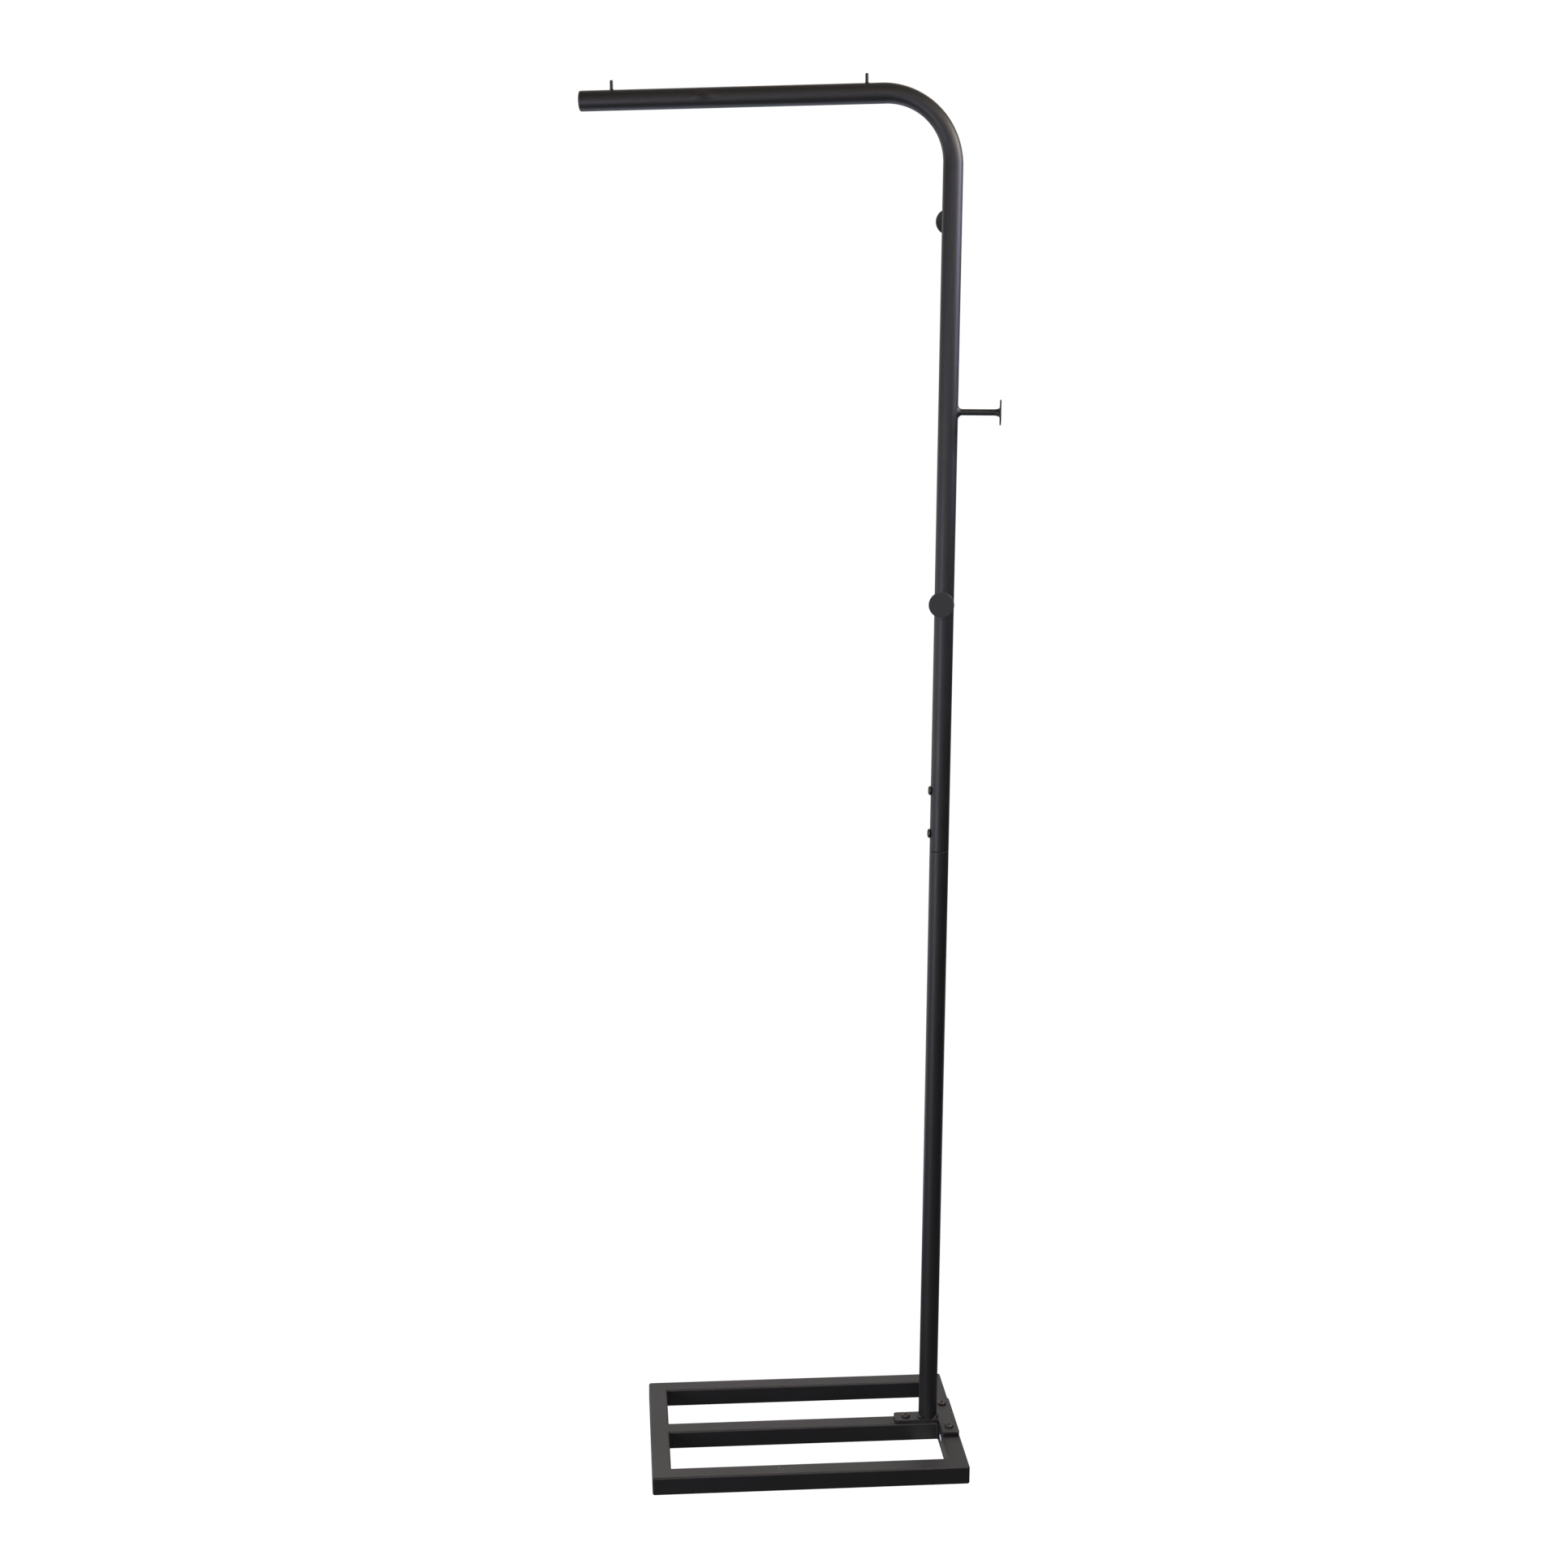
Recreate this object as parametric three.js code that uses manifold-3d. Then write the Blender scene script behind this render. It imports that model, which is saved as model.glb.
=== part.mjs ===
// A standing coat rack: a welded base of square steel bars, a screwed-on post in two lengths,
// one bent arm over the base, three disc hooks round the post and two stop pins on the arm.
// Millimetres, +Z up. The origin is on the floor under the middle of the base.
import * as THREE from 'three';
import Module from 'manifold-3d';

const wasm = await Module();
wasm.setup();

// ---- driving dimensions ----

const FIT_GAP = 0.3; // kept between pieces that are welded or seated together

const BASE_WIDTH = 420;
const BASE_DEPTH = 265;
const BAR_SIZE = 25;
const BAR_WALL = 1.5;
const BAR_CORNER_RADIUS = 2.5;

const PLATE_THICKNESS = 5;
const PLATE_WIDTH = 24;
const PLATE_CORNER_RADIUS = 4;
const PLATE_STEM_REACH = 46; // from the post axis to the free end of the stem
const PLATE_CROSS_LENGTH = 98;
const STEM_SCREW_REACH = 30.5; // from the post axis
const CROSS_SCREW_SPACING = 64;

const TUBE_DIAMETER = 25;
const TUBE_WALL = 1.5;
const JOINT_HEIGHT = 832.5; // where the lower and the upper tube meet
const ARM_HEIGHT = 1784; // where the arm's axis meets the post's axis
const ARM_REACH = 466; // from the post axis to the end of the cap
const ARM_BEARING = 169; // degrees, seen from above, 0 towards +X
const BEND_RADIUS = 85;
const BEND_ANGLE = 91; // a little past square, so the arm drops slightly

const FOOT_WELD_LEG = 3;

const SLEEVE_WALL = 1.5;
const SLEEVE_BELOW_JOINT = 60;
const SLEEVE_ABOVE_JOINT = 100;
const JOINT_SCREW_BEARING = 177;
const LOWER_JOINT_SCREW_RISE = 23; // above the joint
const JOINT_SCREW_SPACING = 57;

const SCREW_DIAMETER = 6;
const SCREW_HEAD_DIAMETER = 12;
const SCREW_HEAD_HEIGHT = 3.3;
const SCREW_HEAD_RIM = 0.9;
const FOOT_SCREW_LENGTH = 16;
const JOINT_SCREW_LENGTH = 12;
const SOCKET_SIZE = 4; // across flats
const SOCKET_DEPTH = 2;
const NUT_SIZE = 10; // across flats
const NUT_HEIGHT = 5;

const TOP_HOOK_DROP = 150; // below the arm's axis
const HOOK_SPACING = 236;
const HOOKS = [
  { name: 'hook_back', bearing: 85 },
  { name: 'hook_right', bearing: -10 },
  { name: 'hook_front', bearing: -102 },
]; // from the top one down
const HOOK_REACH = 54; // from the tube's surface to the disc's outer face
const PEG_DIAMETER = 8;
const DISC_DIAMETER = 32;
const DISC_THICKNESS = 2;
const DISC_EDGE_RADIUS = 0.5;
const ROOT_WELD_SPREAD = 5.2; // how far the weld stands out from the peg
const ROOT_WELD_LENGTH = 5; // how far it runs along the peg
const ROOT_WELD_FLATTENING = 0.78; // its width across the post over its height
const DISC_WELD_SPREAD = 2.9;
const DISC_WELD_LENGTH = 7;

const PIN_DIAMETER = 4;
const PIN_HEIGHT = 11.5;
const PIN_TIP_RADIUS = 1.2;
const PIN_SEAT_DEPTH = 1.2; // how deep the pin sits in the arm's wall
const OUTER_PIN_FROM_END = 41;
const INNER_PIN_FROM_POST = 107;

const CAP_HEAD_THICKNESS = 2.5;
const CAP_EDGE_RADIUS = 1.8;
const CAP_PLUG_LENGTH = 12;
const CAP_PLUG_WALL = 1.8;

const SAME_POINT = 0.0001; // points nearer than this are one

const TUBE_SIDES = 36;
const ROD_SIDES = 20;
const DISC_SIDES = 40;
const CORNER_STEPS = 4;
const BEND_STEPS = 18;

// ---- sizes worked out from them ----

const DEGREE = Math.PI / 180;
const TUBE_RADIUS = TUBE_DIAMETER / 2;
const TUBE_BORE = TUBE_RADIUS - TUBE_WALL;
const POST_X = BASE_WIDTH / 2 - BAR_SIZE - TUBE_RADIUS;
const RIGHT_BAR_X = (BASE_WIDTH - BAR_SIZE) / 2;
const PLATE_BOTTOM = BAR_SIZE + FIT_GAP;
const PLATE_TOP = PLATE_BOTTOM + PLATE_THICKNESS;
const SCREW_HOLE_DIAMETER = SCREW_DIAMETER + 2 * FIT_GAP;
const SLEEVE_RADIUS = TUBE_BORE - FIT_GAP;
const SLEEVE_BORE = SLEEVE_RADIUS - SLEEVE_WALL;
const ARM_LENGTH = ARM_REACH - CAP_HEAD_THICKNESS - FIT_GAP;
const BEND_SETBACK = BEND_RADIUS * Math.tan(BEND_ANGLE * DEGREE / 2);
const DROP_ANGLE = (BEND_ANGLE - 90) * DEGREE;

const FOOT_SCREWS = [
  { name: 'stem', x: POST_X - STEM_SCREW_REACH, y: 0 },
  { name: 'front', x: RIGHT_BAR_X, y: -CROSS_SCREW_SPACING / 2 },
  { name: 'back', x: RIGHT_BAR_X, y: CROSS_SCREW_SPACING / 2 },
];
const JOINT_SCREWS = [
  { name: 'lower', height: JOINT_HEIGHT + LOWER_JOINT_SCREW_RISE },
  { name: 'upper', height: JOINT_HEIGHT + LOWER_JOINT_SCREW_RISE + JOINT_SCREW_SPACING },
];

// ---- materials ----

const finish = (name, color, roughness, metalness) =>
  new THREE.MeshStandardMaterial({ name, color, roughness, metalness });

const powderCoat = () => finish('black_powder_coat', 0x3a393b, 0.5, 0.1);
const blackScrew = () => finish('black_oxide_steel', 0x2b2a28, 0.38, 0.7);
const bareSteel = () => finish('zinc_plated_steel', 0xa9abad, 0.4, 0.9);
const blackPlastic = () => finish('black_plastic', 0x1e1e20, 0.55, 0);

// ---- helpers ----

// Gives a geometry as a manifold solid.
function solid(geometry) {
  const bare = geometry.clone();
  bare.deleteAttribute('normal');
  bare.deleteAttribute('uv');
  const points = new Map();
  const corners = bare.index ? Array.from(bare.index.array) : null;
  const position = bare.attributes.position;
  const count = corners ? corners.length : position.count;
  const vertProperties = [];
  const triVerts = new Uint32Array(count);
  for (let i = 0; i < count; i += 1) {
    const at = corners ? corners[i] : i;
    const xyz = [position.getX(at), position.getY(at), position.getZ(at)];
    const key = xyz.map((value) => Math.round(value / SAME_POINT)).join(',');
    if (!points.has(key)) {
      points.set(key, points.size);
      vertProperties.push(...xyz);
    }
    triVerts[i] = points.get(key);
  }
  const whole = [];
  for (let i = 0; i < count; i += 3) {
    const [a, b, c] = triVerts.subarray(i, i + 3);
    if (a !== b && b !== c && c !== a) {
      whole.push(a, b, c);
    }
  }
  return new wasm.Manifold(new wasm.Mesh({
    numProp: 3,
    vertProperties: new Float32Array(vertProperties),
    triVerts: new Uint32Array(whole),
  }));
}

// Gives a manifold solid as a geometry.
function geometryOf(body) {
  const mesh = body.getMesh();
  const geometry = new THREE.BufferGeometry();
  geometry.setAttribute('position', new THREE.BufferAttribute(mesh.vertProperties, 3));
  geometry.setIndex(new THREE.BufferAttribute(mesh.triVerts, 1));
  geometry.computeVertexNormals();
  return geometry;
}

// Cuts every cutter out of a geometry.
function cut(geometry, ...cutters) {
  const rest = cutters.reduce((body, cutter) => body.subtract(solid(cutter)), solid(geometry));
  return geometryOf(rest);
}

function keep(geometry, region) {
  return geometryOf(solid(geometry).intersect(solid(region)));
}

function piece(name, geometry, material) {
  const mesh = new THREE.Mesh(geometry, material);
  mesh.name = name;
  return mesh;
}

// A path round a rectangle with rounded corners, centred on (x, y).
function roundedRectangle(Path, width, height, radius, x = 0, y = 0) {
  const right = x + width / 2;
  const left = x - width / 2;
  const top = y + height / 2;
  const bottom = y - height / 2;
  const path = new Path();
  path.moveTo(left + radius, bottom);
  path.lineTo(right - radius, bottom);
  path.absarc(right - radius, bottom + radius, radius, -Math.PI / 2, 0);
  path.lineTo(right, top - radius);
  path.absarc(right - radius, top - radius, radius, 0, Math.PI / 2);
  path.lineTo(left + radius, top);
  path.absarc(left + radius, top - radius, radius, Math.PI / 2, Math.PI);
  path.lineTo(left, bottom + radius);
  path.absarc(left + radius, bottom + radius, radius, Math.PI, 1.5 * Math.PI);
  return path;
}

function ring(radius, bore) {
  const shape = new THREE.Shape();
  shape.absarc(0, 0, radius, 0, 2 * Math.PI);
  const hole = new THREE.Path();
  hole.absarc(0, 0, bore, 0, 2 * Math.PI);
  shape.holes.push(hole);
  return shape;
}

// Extrudes an outline along +Z. An arc gets two points for each of its curve segments.
function extruded(outline, depth, arcSteps = CORNER_STEPS) {
  const settings = { depth, bevelEnabled: false, curveSegments: arcSteps / 2 };
  return new THREE.ExtrudeGeometry(outline, settings);
}

// A straight round tube standing on z = from.
function tube(radius, bore, from, to) {
  return extruded(ring(radius, bore), to - from, TUBE_SIDES).translate(0, 0, from);
}

// A solid of revolution about +Z from [radius, height] points.
function turned(points, sides = ROD_SIDES) {
  const outline = points.map(([radius, height]) => new THREE.Vector2(radius, height));
  return new THREE.LatheGeometry(outline, sides).rotateX(Math.PI / 2);
}

function rod(diameter, from, to, sides = ROD_SIDES) {
  return new THREE.CylinderGeometry(diameter / 2, diameter / 2, to - from, sides)
    .rotateX(Math.PI / 2)
    .translate(0, 0, (from + to) / 2);
}

function block(width, depth, height, x, y, z) {
  return new THREE.BoxGeometry(width, depth, height).translate(x, y, z);
}

// Lays something built along +Z down along +X, so that it points away from the post.
const pointOut = (geometry) => geometry.rotateY(Math.PI / 2);

// Turns it on from +X to a bearing.
const swing = (geometry, bearing) => geometry.rotateZ(bearing * DEGREE);

// Points on a hollow quarter round, from (spread, 0) to (0, length) off a rod's surface.
function filletPoints(rodRadius, spread, length, from) {
  const points = [];
  for (let i = 0; i <= CORNER_STEPS; i += 1) {
    const angle = (i / CORNER_STEPS) * Math.PI / 2;
    const out = rodRadius + spread * (1 - Math.sin(angle));
    points.push([Math.max(out, rodRadius + 2 * FIT_GAP), from + length * (1 - Math.cos(angle))]);
  }
  return points;
}

// ---- the base frame ----

// A length of square tube along X, centred on the origin.
function squareTube(length) {
  const section = roundedRectangle(THREE.Shape, BAR_SIZE, BAR_SIZE, BAR_CORNER_RADIUS);
  const inside = BAR_SIZE - 2 * BAR_WALL;
  const innerRadius = BAR_CORNER_RADIUS - BAR_WALL;
  section.holes.push(roundedRectangle(THREE.Path, inside, inside, innerRadius));
  return extruded(section, length).translate(0, 0, -length / 2).rotateY(Math.PI / 2);
}

// A bar with mitred ends. Its long side faces -Y.
function mitredBar(length) {
  const room = FIT_GAP / Math.SQRT2;
  const half = length / 2 - room;
  const overhang = BAR_SIZE;
  const plan = new THREE.Shape();
  const near = -BAR_SIZE / 2;
  plan.moveTo(-half - overhang, near - overhang);
  plan.lineTo(half + overhang, near - overhang);
  plan.lineTo(half - BAR_SIZE - overhang, near + BAR_SIZE + overhang);
  plan.lineTo(-half + BAR_SIZE + overhang, near + BAR_SIZE + overhang);
  const region = extruded(plan, 2 * BAR_SIZE).translate(0, 0, -BAR_SIZE);
  return keep(squareTube(length), region);
}

function screwHoles(screws) {
  return screws.map(({ x, y }) => {
    const drill = rod(SCREW_HOLE_DIAMETER, BAR_SIZE / 2, 2 * BAR_SIZE);
    return drill.translate(x, y, 0);
  });
}

function baseBars() {
  const [stemScrew, ...crossScrews] = FOOT_SCREWS;
  const front = mitredBar(BASE_WIDTH).translate(0, (BAR_SIZE - BASE_DEPTH) / 2, BAR_SIZE / 2);
  const back = front.clone().rotateZ(Math.PI);
  const right = mitredBar(BASE_DEPTH)
    .rotateZ(Math.PI / 2)
    .translate(RIGHT_BAR_X, 0, BAR_SIZE / 2);
  const left = right.clone().rotateZ(Math.PI);
  const middle = squareTube(BASE_WIDTH - 2 * BAR_SIZE - 2 * FIT_GAP).translate(0, 0, BAR_SIZE / 2);
  return [
    piece('base_front_bar', front, powderCoat()),
    piece('base_back_bar', back, powderCoat()),
    piece('base_left_bar', left, powderCoat()),
    piece('base_right_bar', cut(right, ...screwHoles(crossScrews)), powderCoat()),
    piece('base_middle_bar', cut(middle, ...screwHoles([stemScrew])), powderCoat()),
  ];
}

// ---- the T-shaped foot plate and its welds ----

function plateGeometry(thickness, margin = 0) {
  const stemEnd = POST_X - PLATE_STEM_REACH + margin;
  const width = PLATE_WIDTH - 2 * margin;
  const stemLength = RIGHT_BAR_X - stemEnd;
  const stem = roundedRectangle(
    THREE.Shape, stemLength + width / 2, width, PLATE_CORNER_RADIUS,
    stemEnd + (stemLength + width / 2) / 2, 0,
  );
  const cross = roundedRectangle(
    THREE.Shape, width, PLATE_CROSS_LENGTH - 2 * margin, PLATE_CORNER_RADIUS, RIGHT_BAR_X, 0,
  );
  return geometryOf(solid(extruded(stem, thickness)).add(solid(extruded(cross, thickness))));
}

function footPlate() {
  const plate = plateGeometry(PLATE_THICKNESS).translate(0, 0, PLATE_BOTTOM);
  return piece('foot_plate', cut(plate, ...screwHoles(FOOT_SCREWS)), powderCoat());
}

// The post is as wide as the plate's stem, so its weld is one arc on each side.
function footWelds() {
  const from = PLATE_TOP + FIT_GAP;
  const bead = turned([
    [TUBE_RADIUS + FIT_GAP, from],
    ...filletPoints(TUBE_RADIUS, FOOT_WELD_LEG, FOOT_WELD_LEG, from),
    [TUBE_RADIUS + FIT_GAP, from + FOOT_WELD_LEG],
    [TUBE_RADIUS + FIT_GAP, from],
  ], TUBE_SIDES).translate(POST_X, 0, 0);
  const plateArea = plateGeometry(2 * FOOT_WELD_LEG, FIT_GAP).translate(0, 0, from - FIT_GAP);
  const onPlate = keep(bead, plateArea);
  const span = 4 * TUBE_DIAMETER;
  return [['left', -1], ['right', 1]].map(([side, sign]) => {
    const half = block(span, span, span, POST_X + sign * span / 2, 0, from);
    return piece(`foot_weld_${side}`, keep(onPlate, half), powderCoat());
  });
}

// ---- screws and nuts ----

// A domed screw with a hexagon socket. Its head sits on z = 0 and its shank points down.
function screwGeometry(length) {
  const radius = SCREW_HEAD_DIAMETER / 2;
  const points = [[0, -length], [SCREW_DIAMETER / 2, -length], [SCREW_DIAMETER / 2, 0], [radius, 0]];
  for (let i = 0; i <= CORNER_STEPS; i += 1) {
    const angle = (i / CORNER_STEPS) * Math.PI / 3;
    const dome = (SCREW_HEAD_HEIGHT - SCREW_HEAD_RIM) * Math.sin(angle) / Math.sin(Math.PI / 3);
    points.push([radius * Math.cos(angle), SCREW_HEAD_RIM + dome]);
  }
  points.push([0, SCREW_HEAD_HEIGHT]);
  const socketWidth = SOCKET_SIZE / Math.cos(Math.PI / 6);
  const socket = rod(socketWidth, SCREW_HEAD_HEIGHT - SOCKET_DEPTH, 2 * SCREW_HEAD_HEIGHT, 6);
  return cut(turned(points), socket);
}

// A hexagon nut hanging under z = 0, with two of its flats facing along Y.
function nutGeometry() {
  const body = rod(NUT_SIZE / Math.cos(Math.PI / 6), -NUT_HEIGHT, 0, 6).rotateZ(Math.PI / 6);
  return cut(body, rod(SCREW_HOLE_DIAMETER, -2 * NUT_HEIGHT, NUT_HEIGHT));
}

function footFasteners() {
  const nutTop = BAR_SIZE - BAR_WALL - FIT_GAP;
  return FOOT_SCREWS.flatMap(({ name, x, y }) => {
    const screw = screwGeometry(FOOT_SCREW_LENGTH).translate(x, y, PLATE_TOP + FIT_GAP);
    const nut = nutGeometry().translate(x, y, nutTop);
    return [
      piece(`foot_screw_${name}`, screw, blackScrew()),
      piece(`foot_nut_${name}`, nut, bareSteel()),
    ];
  });
}

function jointFasteners() {
  const nutFace = Math.sqrt(SLEEVE_BORE ** 2 - (NUT_SIZE / 2) ** 2) - FIT_GAP;
  return JOINT_SCREWS.flatMap(({ name, height }) => {
    const place = (geometry, out) => swing(
      pointOut(geometry).translate(out, 0, height), JOINT_SCREW_BEARING,
    );
    const screw = place(screwGeometry(JOINT_SCREW_LENGTH), TUBE_RADIUS + FIT_GAP);
    const nut = place(nutGeometry(), nutFace);
    return [
      piece(`joint_screw_${name}`, screw, blackScrew()),
      piece(`joint_nut_${name}`, nut, bareSteel()),
    ];
  });
}

// ---- the post ----

const jointHoles = () => JOINT_SCREWS.map(({ height }) => {
  const drill = pointOut(rod(SCREW_HOLE_DIAMETER, SLEEVE_BORE / 2, TUBE_DIAMETER));
  return swing(drill.translate(0, 0, height), JOINT_SCREW_BEARING);
});

function lowerTube() {
  const geometry = tube(TUBE_RADIUS, TUBE_BORE, PLATE_TOP + FIT_GAP, JOINT_HEIGHT);
  return piece('lower_tube', geometry, powderCoat());
}

function jointSleeve() {
  const from = JOINT_HEIGHT - SLEEVE_BELOW_JOINT;
  const to = JOINT_HEIGHT + SLEEVE_ABOVE_JOINT;
  const sleeve = cut(tube(SLEEVE_RADIUS, SLEEVE_BORE, from, to), ...jointHoles());
  return piece('joint_sleeve', sleeve, bareSteel());
}

// The axis of the upper tube: up the post, round the bend and out along the arm towards +X.
// Its own steps are one for each straight and BEND_STEPS for the bend.
class BentAxis extends THREE.Curve {
  constructor() {
    super();
    this.steps = BEND_STEPS + 2;
  }

  getUtoTmapping(share) {
    return share;
  }

  angleAt(t) {
    const step = t * this.steps - 1;
    return THREE.MathUtils.clamp(step / BEND_STEPS, 0, 1) * BEND_ANGLE * DEGREE;
  }

  getPoint(t) {
    const bendStart = ARM_HEIGHT - BEND_SETBACK;
    const step = t * this.steps;
    if (step < 1) {
      const start = JOINT_HEIGHT + FIT_GAP;
      return new THREE.Vector3(0, 0, start + step * (bendStart - start));
    }
    const angle = this.angleAt(t);
    const point = new THREE.Vector3(
      BEND_RADIUS * (1 - Math.cos(angle)), 0, bendStart + BEND_RADIUS * Math.sin(angle),
    );
    const past = Math.max(0, step - 1 - BEND_STEPS);
    return point.addScaledVector(this.getTangent(t), past * (ARM_LENGTH - BEND_SETBACK));
  }

  getTangent(t) {
    const angle = this.angleAt(t);
    return new THREE.Vector3(Math.sin(angle), 0, Math.cos(angle));
  }
}

function stopPins() {
  return [
    { name: 'stop_pin_outer', along: ARM_REACH - OUTER_PIN_FROM_END },
    { name: 'stop_pin_inner', along: INNER_PIN_FROM_POST },
  ];
}

// Moves something built on the arm's axis, with its own +Z square to the arm, to its place.
function ontoArm(geometry, along) {
  return swing(geometry
    .translate(along, 0, 0)
    .rotateY(DROP_ANGLE)
    .translate(0, 0, ARM_HEIGHT), ARM_BEARING);
}

function upperTube() {
  const axis = new BentAxis();
  const bent = new THREE.ExtrudeGeometry(ring(TUBE_RADIUS, TUBE_BORE), {
    steps: axis.steps,
    extrudePath: axis,
    curveSegments: TUBE_SIDES / 2,
  });
  const pinHoles = stopPins().map(({ along }) => ontoArm(
    rod(PIN_DIAMETER + 2 * FIT_GAP, TUBE_RADIUS / 2, TUBE_DIAMETER), along,
  ));
  const drilled = cut(swing(bent, ARM_BEARING), ...pinHoles, ...jointHoles());
  return piece('upper_tube', drilled, powderCoat());
}

function armPins() {
  const radius = PIN_DIAMETER / 2;
  const from = TUBE_RADIUS - PIN_SEAT_DEPTH;
  const to = TUBE_RADIUS + PIN_HEIGHT;
  const points = [[0, from], [radius, from]];
  for (let i = 0; i <= CORNER_STEPS; i += 1) {
    const angle = (i / CORNER_STEPS) * Math.PI / 2;
    const inward = PIN_TIP_RADIUS * (1 - Math.cos(angle));
    points.push([radius - inward, to - PIN_TIP_RADIUS * (1 - Math.sin(angle))]);
  }
  points.push([0, to]);
  return stopPins().map(({ name, along }) => {
    const pin = ontoArm(turned(points), along);
    return piece(name, pin, powderCoat());
  });
}

// A push-in plug, hollow behind, with a rounded head as wide as the tube.
function armEndCap() {
  const plugRadius = TUBE_BORE - FIT_GAP;
  const points = [
    [0, 0],
    [plugRadius - CAP_PLUG_WALL, 0],
    [plugRadius - CAP_PLUG_WALL, -CAP_PLUG_LENGTH],
    [plugRadius, -CAP_PLUG_LENGTH],
    [plugRadius, FIT_GAP],
    [TUBE_RADIUS, FIT_GAP],
  ];
  const crown = CAP_HEAD_THICKNESS + FIT_GAP;
  for (let i = 0; i <= CORNER_STEPS; i += 1) {
    const angle = (i / CORNER_STEPS) * Math.PI / 2;
    const inward = CAP_EDGE_RADIUS * (1 - Math.cos(angle));
    points.push([TUBE_RADIUS - inward, crown - CAP_EDGE_RADIUS * (1 - Math.sin(angle))]);
  }
  points.push([0, crown]);
  const cap = ontoArm(pointOut(turned(points, TUBE_SIDES)), ARM_LENGTH);
  return piece('arm_end_cap', cap, blackPlastic());
}

// ---- the disc hooks ----

function hook({ name, bearing }, fromTop) {
  const height = ARM_HEIGHT - TOP_HOOK_DROP - fromTop * HOOK_SPACING;
  const pegRadius = PEG_DIAMETER / 2;
  const pegBore = pegRadius + FIT_GAP;
  const discFace = TUBE_RADIUS + HOOK_REACH;
  const discBack = discFace - DISC_THICKNESS;
  const discRadius = DISC_DIAMETER / 2;
  const place = (geometry) => swing(pointOut(geometry), bearing).translate(0, 0, height);

  const peg = rod(PEG_DIAMETER, TUBE_RADIUS + FIT_GAP, discBack - FIT_GAP);
  const disc = turned([
    [0, discBack],
    [discRadius - DISC_EDGE_RADIUS, discBack],
    [discRadius, discBack + DISC_EDGE_RADIUS],
    [discRadius, discFace - DISC_EDGE_RADIUS],
    [discRadius - DISC_EDGE_RADIUS, discFace],
    [0, discFace],
  ], DISC_SIDES);

  const rootFrom = TUBE_RADIUS / 2;
  const rootShape = turned([
    [0, rootFrom],
    [pegRadius + ROOT_WELD_SPREAD, rootFrom],
    ...filletPoints(pegRadius, ROOT_WELD_SPREAD, ROOT_WELD_LENGTH, TUBE_RADIUS),
    [0, TUBE_RADIUS + ROOT_WELD_LENGTH],
  ]).scale(1, ROOT_WELD_FLATTENING, 1);
  const aroundPost = rod(TUBE_DIAMETER + 2 * FIT_GAP, -TUBE_DIAMETER, TUBE_DIAMETER, TUBE_SIDES);
  const postSurface = pointOut(aroundPost);
  const pegHole = rod(2 * pegBore, 0, 2 * TUBE_DIAMETER);
  const rootWeld = cut(rootShape, postSurface, pegHole);

  const weldTop = discBack - FIT_GAP;
  const discWeld = turned([
    [pegBore, weldTop],
    [pegBore, weldTop - DISC_WELD_LENGTH],
    ...filletPoints(pegRadius, DISC_WELD_SPREAD, DISC_WELD_LENGTH, 0)
      .reverse()
      .map(([radius, rise]) => [radius, weldTop - rise]),
    [pegBore, weldTop],
  ]);
  return [
    piece(`${name}_peg`, place(peg), powderCoat()),
    piece(`${name}_root_weld`, place(rootWeld), powderCoat()),
    piece(`${name}_disc_weld`, place(discWeld), powderCoat()),
    piece(`${name}_disc`, place(disc), powderCoat()),
  ];
}

// ---- the whole rack ----

const group = new THREE.Group();
group.add(...baseBars(), footPlate(), ...footWelds(), ...footFasteners());

const post = new THREE.Group();
post.position.x = POST_X;
post.add(lowerTube(), jointSleeve(), upperTube(), ...jointFasteners());
post.add(...HOOKS.flatMap(hook), ...armPins(), armEndCap());
group.add(post);

export default group;
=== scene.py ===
"""A standing coat rack: welded square-tube base, two-part round post, bent arm and disc hooks."""

import math

import bpy
import numpy as np
from mathutils import Matrix, Vector


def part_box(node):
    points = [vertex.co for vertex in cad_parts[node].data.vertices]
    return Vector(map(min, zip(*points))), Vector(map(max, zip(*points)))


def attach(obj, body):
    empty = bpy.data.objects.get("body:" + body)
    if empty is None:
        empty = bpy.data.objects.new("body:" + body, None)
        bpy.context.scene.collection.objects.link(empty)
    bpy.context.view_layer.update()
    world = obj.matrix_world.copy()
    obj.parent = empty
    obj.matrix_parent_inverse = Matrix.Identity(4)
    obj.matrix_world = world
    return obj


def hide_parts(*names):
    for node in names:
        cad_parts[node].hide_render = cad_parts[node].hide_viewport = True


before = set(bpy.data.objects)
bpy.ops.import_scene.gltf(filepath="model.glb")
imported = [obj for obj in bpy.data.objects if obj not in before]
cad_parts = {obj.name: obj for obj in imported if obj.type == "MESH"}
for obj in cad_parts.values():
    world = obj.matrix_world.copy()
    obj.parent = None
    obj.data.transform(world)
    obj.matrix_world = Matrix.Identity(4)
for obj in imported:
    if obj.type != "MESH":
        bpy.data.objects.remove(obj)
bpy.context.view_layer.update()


# ==== Base bars ====
# Five lengths of 25 mm square steel tube. The outer four are mitred and welded into a frame,
# the fifth is butted between the side bars; the welds on top are ground flush and the whole
# is powder coated matt black.

MM = 0.001
BAR_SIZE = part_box("base_front_bar")[1].z
BAR_WALL = 1.5 * MM
BAR_CORNER = 2.5 * MM
GROUND_CORNER = 3 * MM  # where the grinder rounded the frame's upright outer edges
HOLD = 0.4 * MM  # how far from a rounding the nearest line on the flat lies

LEFT_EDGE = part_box("base_left_bar")[0].x
RIGHT_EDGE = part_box("base_right_bar")[1].x
FRONT_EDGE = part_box("base_front_bar")[0].y
BACK_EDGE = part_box("base_back_bar")[1].y


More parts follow.
